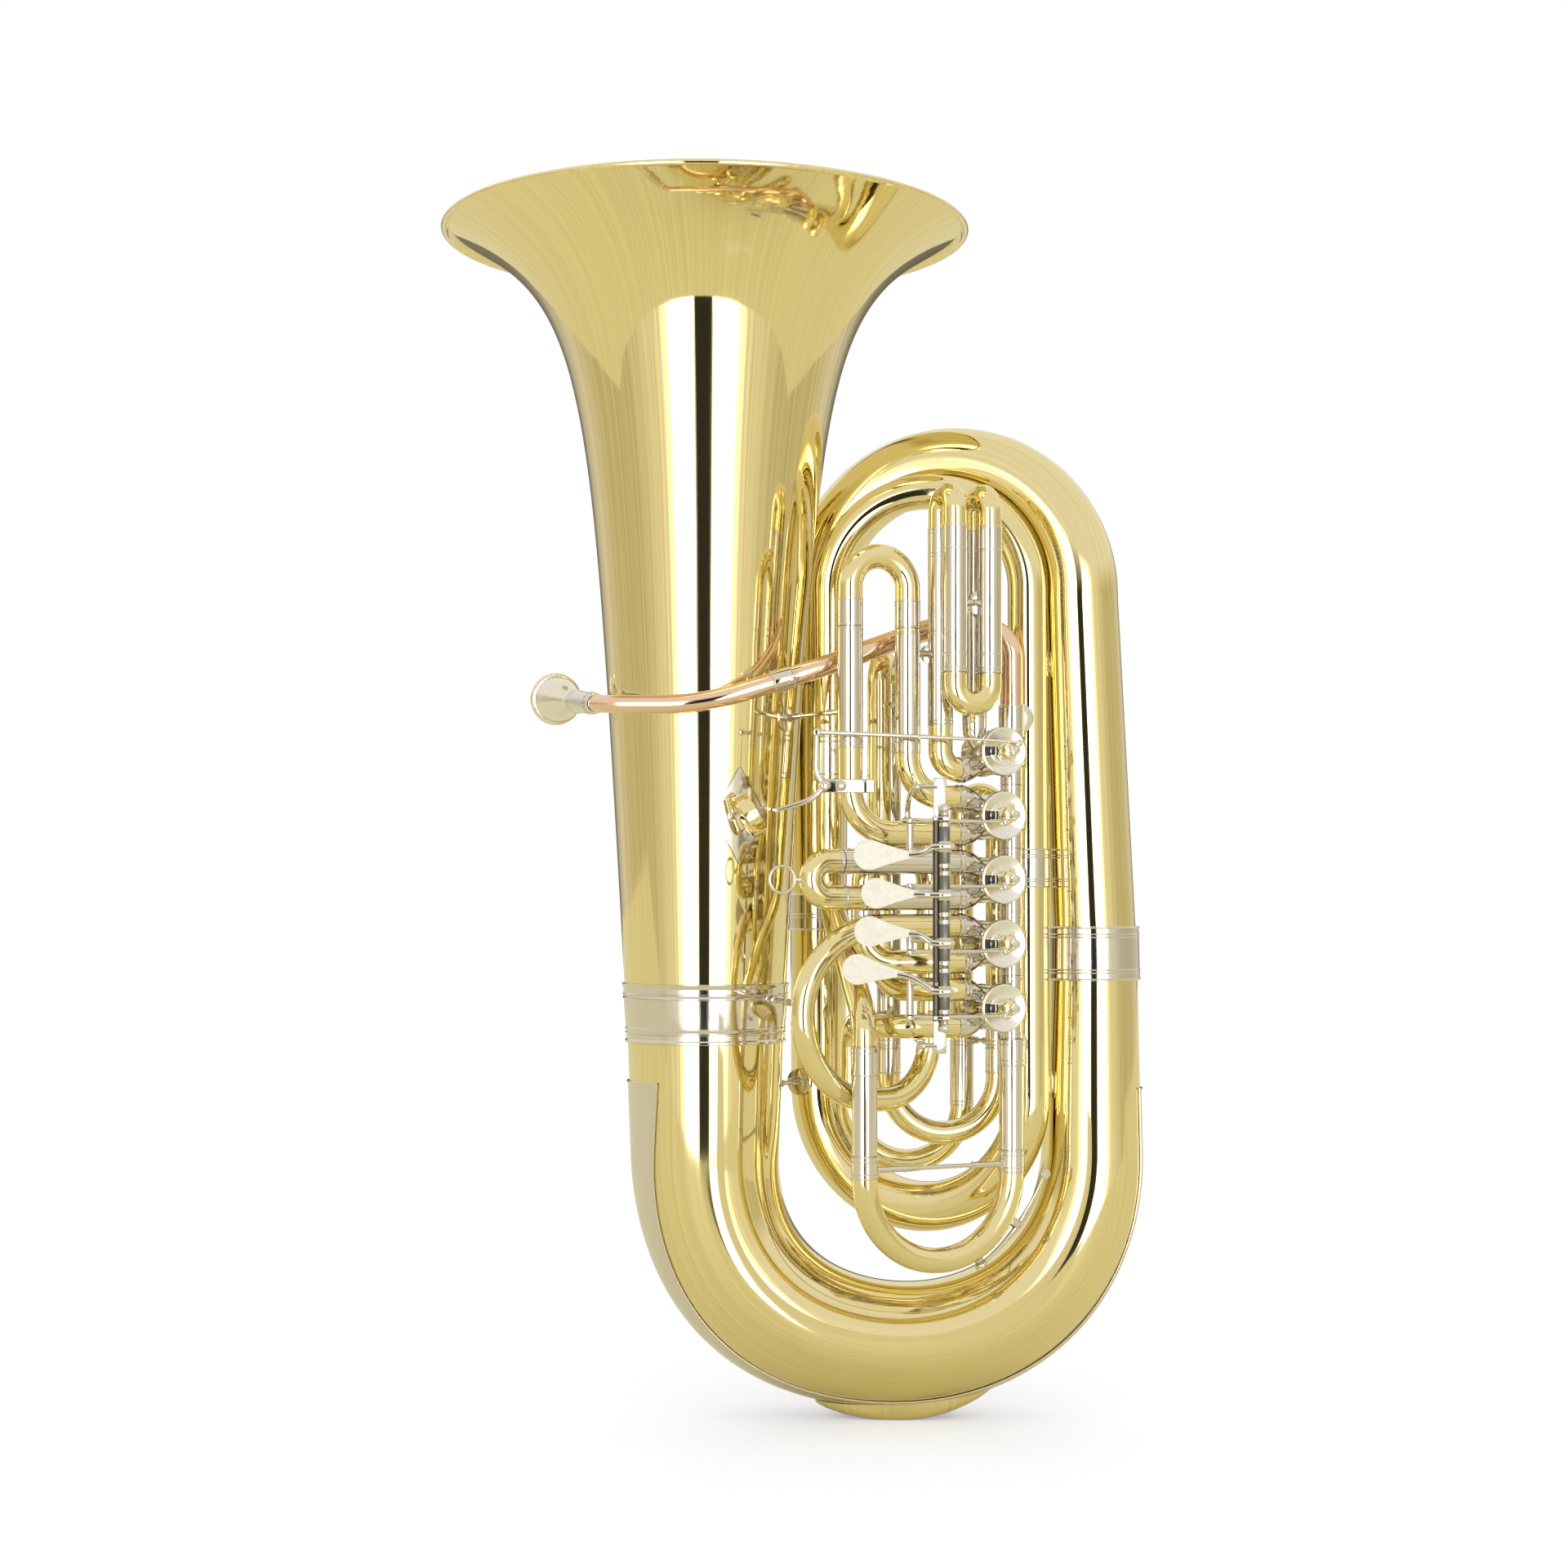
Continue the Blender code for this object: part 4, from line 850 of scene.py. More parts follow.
def build_valve_tubes():
    z = VALVE_Z[1]
    left = in_row(120, 0)
    right = in_row(72, 0)
    lower = [(in_row(STUB_END + 2, z - PORT_Z), 0), (in_row(120, z - PORT_Z), 34), (left + UP * 620, 0)]
    upper = [(in_row(STUB_END + 2, z + PORT_Z), 0), (in_row(72, z + PORT_Z), 30.9), (right + UP * 620, 0)]
    simple_tube("valve_1_lower_tube", bend(lower), 9.45, replaces=True)
    simple_tube("valve_1_upper_tube", bend(upper), 9.45, replaces=True)
    bm = bmesh.new()
    upright(bm, left, 527.5, 620.2, 9.75, (1, 5.6, -1), 0.5, 0.2)
    upright(bm, right, 524.5, 617.6, 9.75, (1, 8.6, -1), 0.5, 0.2)
    piece("valve_1_slide_tubes", bm, NICKEL)
    z = VALVE_Z[2]
    bm = bmesh.new()
    for side, end in ((1, 127.0), (-1, 108.0)):
        level = z + side * PORT_Z
        sweep(bm, [in_row(STUB_END + 2, level), in_row(end, level)], 9.6, 0.8, 36, UP)
        row_sleeve(bm, level, end - 1.6, end, 10.0, (), 0.5, 0.2)
        row_sleeve(bm, level, end - 6.4, end - 4.9, 10.0, (), 0.5, 0.2)
        for place in (50.0, 84.0):
            row_sleeve(bm, level, place, place + 1.5, 9.9, (), 0.5, 0.2)
    piece("valve_2_slide_tubes", bm, NICKEL, replaces=["valve_2_upper_tube", "valve_2_lower_tube"])
    z = VALVE_Z[3]
    rise, fall = VALVE_3_RISE, VALVE_3_FALL
    upper = [(in_row(STUB_END + 2, z + PORT_Z), 0), (in_row(159, z + PORT_Z), 66.9),
             (in_row(159, 258.5), 66.9), (rise + UP * 258.5, 44), (rise + UP * 415, 0)]
    lower = [(in_row(STUB_END - 2, z - PORT_Z), 0), (in_row(42, z - PORT_Z), 30),
             (fall + UP * (z - PORT_Z), 22), (fall + UP * 415, 0)]
    simple_tube("valve_3_upper_tube", bend(upper), 9.3, replaces=True)
    simple_tube("valve_3_lower_tube", bend(lower), 9.3, replaces=True)
    z = VALVE_Z[4]
    up_leg = in_row(76, 0, -44)
    down_leg, far_leg = VALVE_4_DOWN, VALVE_4_FAR
    back_leg = Vector((51.6, 13, 0))
    left_leg = Vector((-37, 13, 0))
    half = (down_leg - up_leg).length / 2
    top = UP * (582 + half)
    upper = [(in_row(STUB_END - 2, z + PORT_Z), 0), (in_row(38, z + PORT_Z), 14),
             (up_leg + UP * (z + PORT_Z), 24), (up_leg + top, half), (down_leg + top, half),
             (down_leg + UP * 296, 0)]
    simple_tube("valve_4_upper_tube", bend(upper), 9.2, replaces=True)
    reach = (back_leg - left_leg).length / 2
    turn = (far_leg - back_leg).length / 2
    crest = UP * (480 + turn)
    base = UP * (247 - reach)
    lower = [(far_leg + UP * 296, 0), (far_leg + crest, turn), (back_leg + crest, turn),
             (back_leg + base, reach), (left_leg + base, reach), (left_leg + UP * (z - PORT_Z), 22),
             (in_row(88, z - PORT_Z), 22), (in_row(STUB_END + 2, z - PORT_Z), 0)]
    simple_tube("valve_4_lower_tube", bend(lower), 9.2, replaces=True)
    bm = bmesh.new()
    upright(bm, down_leg, 296.3, 577, 9.5, (1, 5, -1, -3.4, -21, -23.4, -41, -43), 0.4, 0.2)
    upright(bm, back_leg, 247, 300, 9.6, (1, 4, -1, -4), 0.5, 0.2)
    upright(bm, far_leg, 296.3, 322, 9.5, (1, 4, -1), 0.4, 0.2)
    upright(bm, fall, 396, 415, 9.7, (1, 4, -1), 0.5, 0.2)
    upright(bm, rise, 380, 415, 9.7, (1, 4, -1), 0.5, 0.2)
    piece("rear_ferrules", bm, NICKEL)
    z = VALVE_Z[5]
    top_z = 733.0 - TUBE_R
    bm = bmesh.new()
    for name, s, start in (("lower", 44, z - PORT_Z), ("upper", 15, z + 27.3)):
        rear = in_row(s, 0)
        front = in_row(s, 0, 26)
        crest = UP * top_z
        route = [(rear + crest, 12.99), (front + crest, 12.99), (front + UP * 586, 0)]
        if name == "lower":
            route = [(in_row(STUB_END, start), 0), (rear + UP * start, 15), *route]
        else:
            route = [(rear + UP * start, 0), *route]
        tube = f"valve_5_{name}_tube"
        simple_tube(tube, bend(route), 9.3, replaces=True)
        upright(bm, front, 586, 698.8, 9.75, (1, 3.6, 14.5, -1, -18.4), 0.5, 0.2)
        low = 547 if name == "lower" else 560
        upright(bm, rear, low, 698.8, 9.6, (1, 3.6, -1, -3.6, -19, -22), 0.4, 0.2)
    piece("valve_5_slide_tubes", bm, NICKEL)


def u_bow(name, first, last, outward, mouth, arc_reach, leg_inside, ferrule, radius=9.4):
    """A slide: the brass bow, its ferrules and its inner legs. It rides on the slide's body."""
    outward = Vector(outward)
    half = (last - first).length / 2
    far = outward * (arc_reach + half)
    near = outward * mouth
    bm = bmesh.new()
    sweep(bm, bend([(first + near, 0), (first + far, half), (last + far, half), (last + near, 0)]), radius,
          0.8, 36)
    piece(name, bm, BRASS, name, True)
    bm = bmesh.new()
    for leg in (first, last):
        sweep(bm, [leg + outward * leg_inside, leg + outward * (mouth + 1)], 7.4, 0.7, 32)
        if ferrule:
            sleeve(bm, leg + outward * (mouth + 0.1), leg + outward * (mouth + ferrule), radius + 0.3,
                   (1, -1), 0.5, 0.2)
    piece(name + "_legs", bm, NICKEL, name)


def build_slides():
    u_bow("valve_slide_1", in_row(120, 0), in_row(72, 0), UP, 620.6, 651, 560, 21.5)
    u_bow("valve_slide_3", VALVE_3_FALL, VALVE_3_RISE, UP, 415.6, 424, 394, 6, 9.3)
    u_bow("valve_slide_4", VALVE_4_DOWN, VALVE_4_FAR, -UP, -295.4, -271, -328, 21, 9.3)
    u_bow("valve_slide_5", in_row(44, 0, 26), in_row(15, 0, 26), -UP, -585.4, -577, -650, 0)
    z = VALVE_Z[2]
    upper = in_row(0, z + PORT_Z)
    lower = in_row(0, z - PORT_Z)
    points = bend([(upper + ALONG * 127.4, 0), (upper + ALONG * 151.9, 13.89), (lower + ALONG * 151.9, 13.89),
                   (lower + ALONG * 108.4, 0)])
    simple_tube("valve_slide_2", points, 9.4, BRASS, "valve_slide_2", True)
    bm = bmesh.new()
    sleeve(bm, upper + ALONG * 127.4, upper + ALONG * 131, 9.8, (1.6,), 0.5, 0.2)
    sleeve(bm, lower + ALONG * 108.4, lower + ALONG * 112, 9.8, (1.6,), 0.5, 0.2)
    sleeve(bm, lower + ALONG * 124, lower + ALONG * 128, 9.7, (1.6,), 0.4, 0.2)
    for level, start, end in ((upper, 90, 128), (lower, 72, 109)):
        sweep(bm, [level + ALONG * start, level + ALONG * end], 7.4, 0.7, 32, UP)
    middle = in_row(175.6, z - 0.3)
    ring = []
    for k in range(72):
        a = math.radians(5 * k)
        ring.append(middle + ALONG * (10.2 * math.cos(a)) + UP * (10.2 * math.sin(a)))
    sweep(bm, ring + ring[:1], 1.25, 0, 14, NORMAL)
    turned(bm, in_row(160.4, z - 0.3), ALONG, [(0, 0), (0, 2.6), (1.4, 2.6), (2.6, 1.6), (5.4, 1.5),
                                               (6.2, 0)], 20)
    piece("valve_slide_2_ring", bm, NICKEL, "valve_slide_2")
    knob = [(-1, 0), (-1, 2.2), (1, 2.0), (2.2, 1.4), (3.4, 2.0), (4.6, 2.1), (5.8, 1.2), (6.2, 0)]
    simple_turn("valve_slide_5_knob", in_row(29.5, 553.5, 26), -UP, knob, 24, BRASS, "valve_slide_5",
                closed=False)


def build_main_slide():
    left = in_row(112, 0, 9)
    right = in_row(MAIN_LINE, 0)
    foot = VALVE_Z[4] - HALF_CASING
    bm = bmesh.new()
    sweep(bm, [left + UP * 218.3, left + UP * 301.2], 9.75, 0.6, 48)
    upright(bm, left, 278.6, 300.8, 10.6, (0.9, -1, -4.4), 1.2, 0.3)
    piece("main_slide_left_tube", bm, NICKEL, replaces=True)
    bm = bmesh.new()
    sweep(bm, [right + UP * 218.3, right + UP * (foot - 0.3)], 9.75, 0.6, 48)
    upright(bm, right, 283, foot - 0.2, 10.5, (0.9, 4.4, -1, -4), 1.2, 0.3)
    piece("main_slide_right_tube", bm, NICKEL, replaces=True)
    half = (right - left).length / 2
    turn = UP * (SLIDE_BOW_Z - half)
    points = bend([(left + UP * 218, 0), (left + turn, half), (right + turn, half), (right + UP * 218, 0)], 3)
    name = "main_tuning_slide"
    simple_tube(name, points, 9.85, BRASS, name, True, 0.8, 48)
    bm = bmesh.new()
    for leg in (left, right):
        upright(bm, leg, 200.2, 218.0, 10.2, (0.8, 4.2, -0.9, -4.2), 0.5, 0.2, sides=48)
        sweep(bm, [leg + UP * 214, leg + UP * 276], 8.4, 0.7, 36)
    beam = (right - left).normalized()
    brace(bm, left + UP * 207 + beam * 9.8, right + UP * 207 - beam * 9.8, 1.8, 2.5, 24)
    flange(bm, right + UP * 207 - beam * 10.4, -beam, 5.0, 0.7)
    piece("main_tuning_slide_fittings", bm, NICKEL, name)
    build_water_key(left, right, half)


def slide_corner(left, right, half, angle):
    beam = (right - left).normalized()
    outward = beam * math.cos(angle) - UP * math.sin(angle)
    return (left + right) / 2 + UP * SLIDE_BOW_Z + outward * half, outward


def build_water_key(left, right, half):
    """Sprung lever over the drain spout, with its saddle, pivot and cork."""
    hinge, outward = slide_corner(left, right, half, math.radians(30))
    spout, down = slide_corner(left, right, half, math.radians(62))
    pivot = hinge + outward * (SLIDE_R + 6.8)
    seat = spout + down * (SLIDE_R + 4.4)
    beam = (right - left).normalized()
    across = beam.cross(UP).normalized()
    finger = pivot + Vector((21, -2, 40))
    bm = bmesh.new()
    turned(bm, spout, down, [(8.8, 0), (8.8, 4.6), (9.6, 4.4), (10.0, 3.4), (11.6, 3.2), (11.6, 2.2),
                             (11.2, 2.0), (11.2, 0)], 28)
    for side in (-1, 1):
        ear = hinge + across * (side * 3.6)
        round_box(bm, ear + outward * (SLIDE_R + 3.2), (6.5, 1.1, 9.0),
                  (outward.cross(across), across, outward), 0.5)
    piece("water_key_saddle", bm, NICKEL, "main_tuning_slide")
    bm = bmesh.new()
    bar = smooth_path([seat, seat.lerp(pivot, 0.45) + down * 2.2, pivot, pivot.lerp(finger, 0.5) + beam * 1.6,
                       finger], 3)
    sweep(bm, bar, tapered(bar, (0, 1.5), (0.45, 1.9), (0.85, 1.2), (1, 1.6)), 0, 16)
    turned(bm, seat, down, [(-1.4, 0), (-1.4, 4.7), (-0.8, 5.0), (1.4, 5.0), (2.2, 4.2), (2.6, 0)], 28)
    turned(bm, finger, -NORMAL, [(-1.1, 0), (-1.1, 4.0), (-0.5, 4.4), (0.5, 4.4), (1.1, 4.0), (1.3, 0)], 28)
    turned(bm, pivot, across, [(-5.4, 0), (-5.4, 1.6), (-4.6, 1.8), (-4.2, 1.2), (-2.6, 1.2), (-2.6, 2.6),
                               (2.6, 2.6), (2.6, 1.2), (4.2, 1.2), (4.6, 1.8), (5.4, 1.6), (5.4, 0)], 24)
    coil = []
    for k in range(97):
        a = 2 * math.pi * k / 16
        spread_out = -4.0 + 8.0 * k / 96
        reach = 3.1 if abs(spread_out) < 2.7 else 2.5
        coil.append(pivot + across * spread_out * 0.62 + (beam * math.cos(a) + UP * math.sin(a)) * reach)
    sweep(bm, coil, 0.4, 0, 8)
    sweep(bm, smooth_path([coil[0], pivot - beam * 5 + UP * 9 + across * -2, pivot - beam * 3 + UP * 17], 2),
          0.4, 0, 8)
    piece("water_key", bm, NICKEL, "water_key", True)
    pad = [(-2.8, 0), (-2.8, 3.5), (-1.2, 3.7), (-1.2, 0)]
    simple_turn("water_key_cork", seat, down, pad, 28, CORK, "water_key", closed=False)


# Leadpipe and mouthpiece


def build_leadpipe():
    top = VALVE_Z[5] + HALF_CASING
    line = in_row(MAIN_LINE, 0)
    aim = Vector((-0.362, 0.926, 0.103)).normalized()
    start = Vector((-240.3, -70, 564.9))
    route = [(line + UP * (top + 0.3), 0), (line + UP * 623, 24), (Vector((30, -44, 628)), 60),
             (Vector((-66, -88, 590)), 120), (Vector((-154, -99, 562)), 160), (start - aim * 21, 30),
             (start - aim * 0.8, 0)]
    points = bend(route, 3)
    simple_tube("leadpipe", points, tapered(points, (0, 8.7), (0.3, 8.6), (1, 6.7)), ROSE, replaces=True)
    bm = bmesh.new()
    upright(bm, line, top - 12, top + 12.6, 9.9, (1.2, 5, -1.2), 1.4, 0.3)
    flange(bm, Vector((93.0, -47.0, 555)), (0.2, -0.98, 0), 11.5)
    flange(bm, in_row(MAIN_LINE - 6.0, 299, -7.5), (0.2, -0.98, 0), 11.5)
    sleeve(bm, start - aim * 9, start - aim * 0.3, 7.6, (1.2, -1.2), 0.9, 0.3)
    tube = [(0, 6.9), (0, 8.4), (1.2, 8.9), (3, 8.9), (3.6, 8.4), (30, 8.6), (38, 8.9), (39, 9.5), (43, 9.5),
            (44, 9.0), (44, 7.2)]
    turned(bm, start, aim, tube, 40, closed=True)
    piece("mouthpiece_receiver", bm, NICKEL, replaces=True)
    clamp_x = -92.4
    nearest = min(range(len(points)), key=lambda k: abs(points[k].x - clamp_x))
    dense = [points[nearest].lerp(points[nearest + 1], t / 8) for t in range(9)]
    spot = min(dense, key=lambda p: abs(p.x - clamp_x))
    way = (points[nearest + 1] - points[nearest]).normalized()
    bm = bmesh.new()
    sleeve(bm, spot - way * 8, spot + way * 8, 8.9, (), 1.4, 0.5)
    front = Vector((0, -1, 0))
    lift = way.cross(front).normalized()
    lift = lift if lift.z > 0 else -lift
    block = spot + front * 10.5 - lift * 1.0
    round_box(bm, block, (13, 5.5, 5.0), (way, front, lift), 0.7)
    round_box(bm, spot + front * 10.0 - lift * 1.0 - way * 6.2, (1.2, 6.6, 6.4), (way, front, lift), 0.3)
    thumbscrew = [(5.5, 0), (5.5, 1.5), (9.4, 1.5), (9.6, 3.4), (10.2, 3.9), (11.8, 3.9), (12.4, 3.4),
                  (12.5, 0)]
    turned(bm, block, -way if way.x < 0 else way, thumbscrew, 28)
    piece("lyre_clamp", bm, NICKEL)
    build_mouthpiece(start, aim)


def build_mouthpiece(start, aim):
    shank = [(20, 4.9), (20, 5.9), (46, 6.6), (56, 7.0), (58, 7.6), (60.4, 7.8), (61.8, 7.0), (64, 7.9),
             (68, 10.2), (73, 13.0), (80, 15.6), (87, 17.0), (92, 17.9), (95, 18.3), (95.4, 18.6),
             (95.6, 19.8), (96, 20.3)]
    rim = [(96.0, 20.3), (97.4, 20.8), (99.4, 21.0), (101.2, 20.6), (102.5, 19.5), (103, 18.4), (102.7, 17.3),
           (101.6, 16.6), (100.2, 16.3)]
    cup = [(100.2, 16.3), (97, 16.0), (90, 15.2), (84, 13.6), (77, 10.6), (70, 6.8), (65, 4.4), (62, 3.8),
           (40, 4.4)]
    cup_wall = [*shank, (96, 18.5), (99.8, 17.8), *cup]
    simple_turn("mouthpiece", start, aim, cup_wall, 64, SILVER, "mouthpiece", True)
    # The rim's gold colour is partly a slight real gilt tint and partly a painted reflection of the bell
    simple_turn("mouthpiece_rim", start, aim, [*rim, (98, 17.4), (96, 18.4)], 64, GILT, "mouthpiece")


# Levers


def teardrop(round_end, tip, y, grow=0.0):
    """A round end, then flanks that draw in with a slight hollow towards the arm."""
    centre = Vector((round_end[0], 0, round_end[1]))
    point = Vector((tip[0], 0, tip[1]))
    aim = (point - centre).normalized()
    side = Vector((-aim.z, 0, aim.x))
    long = (point - centre).length
    radius = 11.5 + grow
    outline = []
    for k in range(41):
        a = math.radians(66 + 228 * k / 40)
        outline.append(centre + (aim * math.cos(a) + side * math.sin(a)) * radius)
    x0 = radius * math.cos(math.radians(66))
    h0 = radius * math.sin(math.radians(66))
    shares = [k / 12 for k in range(1, 13)]
    flank = [(x0 + (long - x0) * t, h0 * (1 - t) ** 1.25 + (2.3 + grow) * t) for t in shares]
    outline += [centre + aim * x - side * w for x, w in flank]
    outline += [centre + aim * x + side * w for x, w in reversed(flank)]
    return [p + Vector((0, y, 0)) for p in outline]


def build_levers():
    # Each lever's hub height, then the (x, z) of its paddle's round end and tip
    shapes = ((451.8, (-28.5, 445.6), (6.1, 445.6)), (415.9, (-23.0, 417.2), (9.7, 416.6)),
              (380.0, (-28.2, 388.9), (6.1, 387.4)), (344.1, (-37.0, 360.7), (-2.4, 357.0)))
    for number, (hub_z, round_end, tip) in enumerate(shapes, 1):
        name = f"lever_{number}"
        high = 470.4 - LEVER_PITCH * (number - 1)
        low = high - LEVER_PITCH + 1.2
        rod_z = VALVE_Z[number] - PIN_OFFSET
        paddle_y = AXLE.y - 5.5
        long = high - low
        tube = [(0, 2.7), (0, 3.5), (0.4, 3.8), (long - 0.4, 3.8), (long, 3.5), (long, 2.7)]
        simple_turn(name, BARREL + UP * low, UP, tube, 40, STEEL, name, True)
        bm = bmesh.new()
        for z in (low + 2.2, high - 2.2):
            sleeve(bm, BARREL + UP * (z - 1.7), BARREL + UP * (z + 1.7), 4.4, (), 0.8, 0.4)
        arm_y = AXLE.y - 6.4
        start = Vector((AXLE.x + 9.5, arm_y + 1.6, hub_z))
        arm = [start, Vector((AXLE.x + 4, arm_y, hub_z)), Vector((AXLE.x - 6, arm_y, hub_z)),
               Vector((AXLE.x - 9, arm_y, hub_z + (tip[1] - hub_z) * 0.2)),
               Vector((tip[0] + 4, paddle_y - 0.4, tip[1] + (hub_z - tip[1]) * 0.12)),
               Vector((tip[0] - 5, paddle_y, tip[1]))]
        points = smooth_path(arm, 3)
        sweep(bm, points, tapered(points, (0, 2.1), (0.1, 2.6), (1, 2.4)), 0, 20, UP, (1, 0.7))
        hub = [(0, 3.7), (0, 4.6), (0.5, 4.9), (7.5, 4.9), (8, 4.6), (8, 3.7)]
        turned(bm, BARREL + UP * (hub_z - 4), UP, hub, 40, closed=True)
        screw(bm, Vector((AXLE.x - 0.6, arm_y - 1.3, hub_z)), FRONT, 1.0, 0.5)
        toward = AXLE + (POST - AXLE).normalized() * 1.5
        link_z = {1: hub_z - 2, 2: rod_z - 7, 3: rod_z + 9, 4: rod_z + 26}[number]
        reach = -1 if rod_z < link_z else 1
        sweep(bm, [toward + UP * link_z, POST + UP * link_z], 2.0, 0, 18)
        ends = sorted((link_z - reach * 2.6, rod_z - reach * 2.2))
        post = [(ends[0], 0), (ends[0], 2.3), (ends[0] + 0.5, 2.8), (ends[1] - 0.5, 2.8), (ends[1], 2.3),
                (ends[1], 0)]
        turned(bm, POST, UP, post, 28)
        piece(name + "_arm", bm, NICKEL, name)
        bm = bmesh.new()
        rows = [(-1.3, -0.7), (-0.9, -0.15), (-0.2, 0.0), (0.5, -0.05), (1.1, -0.5)]
        outlines = [teardrop(round_end, tip, paddle_y - dy, grow) for dy, grow in rows]
        build_plate(bm, outlines)
        piece(name + "_paddle", bm, ENAMEL, name)
    bm = bmesh.new()
    sweep(bm, [BARREL + UP * 320, BARREL + UP * 476], 2.5, 0, 24)
    piece("lever_axle", bm, STEEL, "horn", True)
    bm = bmesh.new()
    sweep(bm, [AXLE + Vector((-3.4, 4.6, 322)), AXLE + Vector((-3.4, 4.6, 474))], 2.7, 0, 24)
    piece("lever_spring_bar", bm, DARK)
    bm = bmesh.new()
    angles = [math.radians(a) for a in range(40, 181, 14)]
    ball = [(0, 0), (0, 3.0), (0.8, 3.3), (1.4, 2.4), (2.0, 2.8),
            *[(5.4 - 3.6 * math.cos(a), 3.7 * math.sin(a)) for a in angles], (9.0, 0)]
    for z, side in ((475.0, 1), (322.2, -1)):
        turned(bm, BARREL + UP * z, UP * side, ball, 28)
    piece("axle_finials", bm, NICKEL)


def build_plate(bm, outlines):
    """A domed plate from a stack of outlines, closed front and back."""
    layer = bm.loops.layers.uv.verify()
    rows = [[bm.verts.new(p * MM) for p in outline] for outline in outlines]
    count = len(rows[0])
    for low, high in zip(rows, rows[1:]):
        for j in range(count):
            n = (j + 1) % count
            bm.faces.new((low[j], low[n], high[n], high[j]))
    for row in (rows[0], rows[-1]):
        bm.faces.new(row)
    for face in bm.faces:
        for loop in face.loops:
            loop[layer].uv = (loop.vert.co.x, loop.vert.co.z)


def build_axle_brackets():
    z = VALVE_Z[1] - PORT_Z + TUBE_R
    top = [(AXLE.x - 1, 497), (5, 497), (3.2, 490), (3.2, 482)]
    axle_bracket("axle_bracket_top", 471.0, 1, 32, top, z + 0.4)
    z = VALVE_Z[4] - PORT_Z - TUBE_R
    bottom = [(AXLE.x - 1, 303.5), (9, 303.5), (10, 297), (12.5, 296.5)]
    axle_bracket("axle_bracket_bottom", 326.2, -1, 28.5, bottom, z - 0.2)


def axle_bracket(name, lug_z, side, tab_length, stay, pad_z):
    bm = bmesh.new()
    tab_y = AXLE.y + 7.6
    tab = (AXLE.x - 0.6, tab_y, lug_z + side * (0.4 + tab_length / 2))
    round_box(bm, (AXLE.x, AXLE.y + 1, lug_z + side * 1.6), (12, 15, 3.2), None, 0.8)
    round_box(bm, tab, (10, 2.2, tab_length), turned_basis(9), 0.8)
    corners = [Vector((a, depth, z)) for (a, z), depth in zip(stay, (tab_y, tab_y, -112, -90))]
    pad = Vector((corners[-1].x, -90, pad_z))
    route = bend([(corners[0], 0), (corners[1], 5), (corners[2], 12), (corners[3], 4), (pad + UP * side, 0)])
    sweep(bm, route, 2.1, 0, 20, None, (1.15, 0.85))
    turned(bm, pad, UP * side, [(0, 0), (0, 4.8), (0.8, 4.8), (1.6, 3.2), (2.6, 2.4), (2.6, 0)], 28)
    face = Vector((AXLE.x - 0.6, tab_y - 1.1, lug_z + side * (tab_length - 6)))
    screw(bm, face, FRONT, 2.2, 0.9)
    screw(bm, face - UP * (side * 16), FRONT, 1.7, 0.8, 1.6)
    piece(name, bm, NICKEL, "horn", True)


def build_thumb_lever():
    pivot = THUMB_PIVOT
    ball = THUMB_BALL + Vector((0, 5.2, 0))
    touch = Vector((-97, -126, 480))
    route = [ball, Vector((ball.x, pivot.y, ball.z - 14)), Vector((pivot.x - 7, pivot.y, pivot.z + 10)),
             pivot, pivot + Vector((-9.5, 0, -11)), touch]
    bm = bmesh.new()
    points = smooth_path(route[:4], 3) + smooth_path(route[3:], 3)[1:]
    sweep(bm, points, tapered(points, (0, 1.9), (0.4, 2.4), (0.6, 2.4), (1, 1.8)), 0, 20)
    turned(bm, pivot, (0.2, -1, 0.1), [(-3.2, 0), (-3.2, 3.8), (-2.8, 4.2), (2.4, 4.2), (3.3, 3.6),
                                       (3.9, 2.2), (4.1, 0)], 32)
    turned(bm, ball, FRONT, [(-2, 0), (-2, 2.6), (-1.6, 3.0), (1.8, 3.0), (2.2, 2.6), (2.2, 1.3), (3.2, 1.3),
                             (3.2, 0)], 28)
    outline = []
    for k in range(36):
        a = 2 * math.pi * k / 36
        outline.append(touch + Vector((-4 + 7.5 * math.cos(a), 4.2 * math.sin(a), 0.4 - 1.6 * math.cos(a))))
    prism(bm, outline, UP, -0.7, 0.7)
    piece("thumb_lever", bm, NICKEL, "thumb_lever", True)
    bm = bmesh.new()
    face_y = in_row(120, 0, TUBE_R + 0.4).y
    turn = turned_basis(6)
    front = Vector((0.16, -1, 0.06)).normalized()
    round_box(bm, (pivot.x + 18, face_y - 1.4, pivot.z), (40, 2.0, 10.5), turn, 0.8)
    reach = face_y - pivot.y
    boss = [(0, 0), (0, 3.4), (reach - 5, 3.4), (reach - 4.6, 3.0), (reach - 4.4, 0)]
    turned(bm, (pivot.x, face_y - 1, pivot.z), (0, -1, 0), boss, 28)
    ball = [(0, 0), (0, 4.0), (1.0, 4.2), (1.6, 3.4), (2.6, 3.9), (4.0, 3.7), (5.2, 2.6), (5.8, 0)]
    turned(bm, (pivot.x + 12.5, face_y - 2.2, pivot.z), front, ball, 28)
    screw(bm, Vector((pivot.x + 23, face_y - 1.6, pivot.z)), front, 2.4, 1.2)
    round_box(bm, (pivot.x + 33.5, face_y - 0.8, pivot.z), (9, 2.6, 10.5), turn, 0.9)
    piece("thumb_lever_bracket", bm, NICKEL, "horn", True)


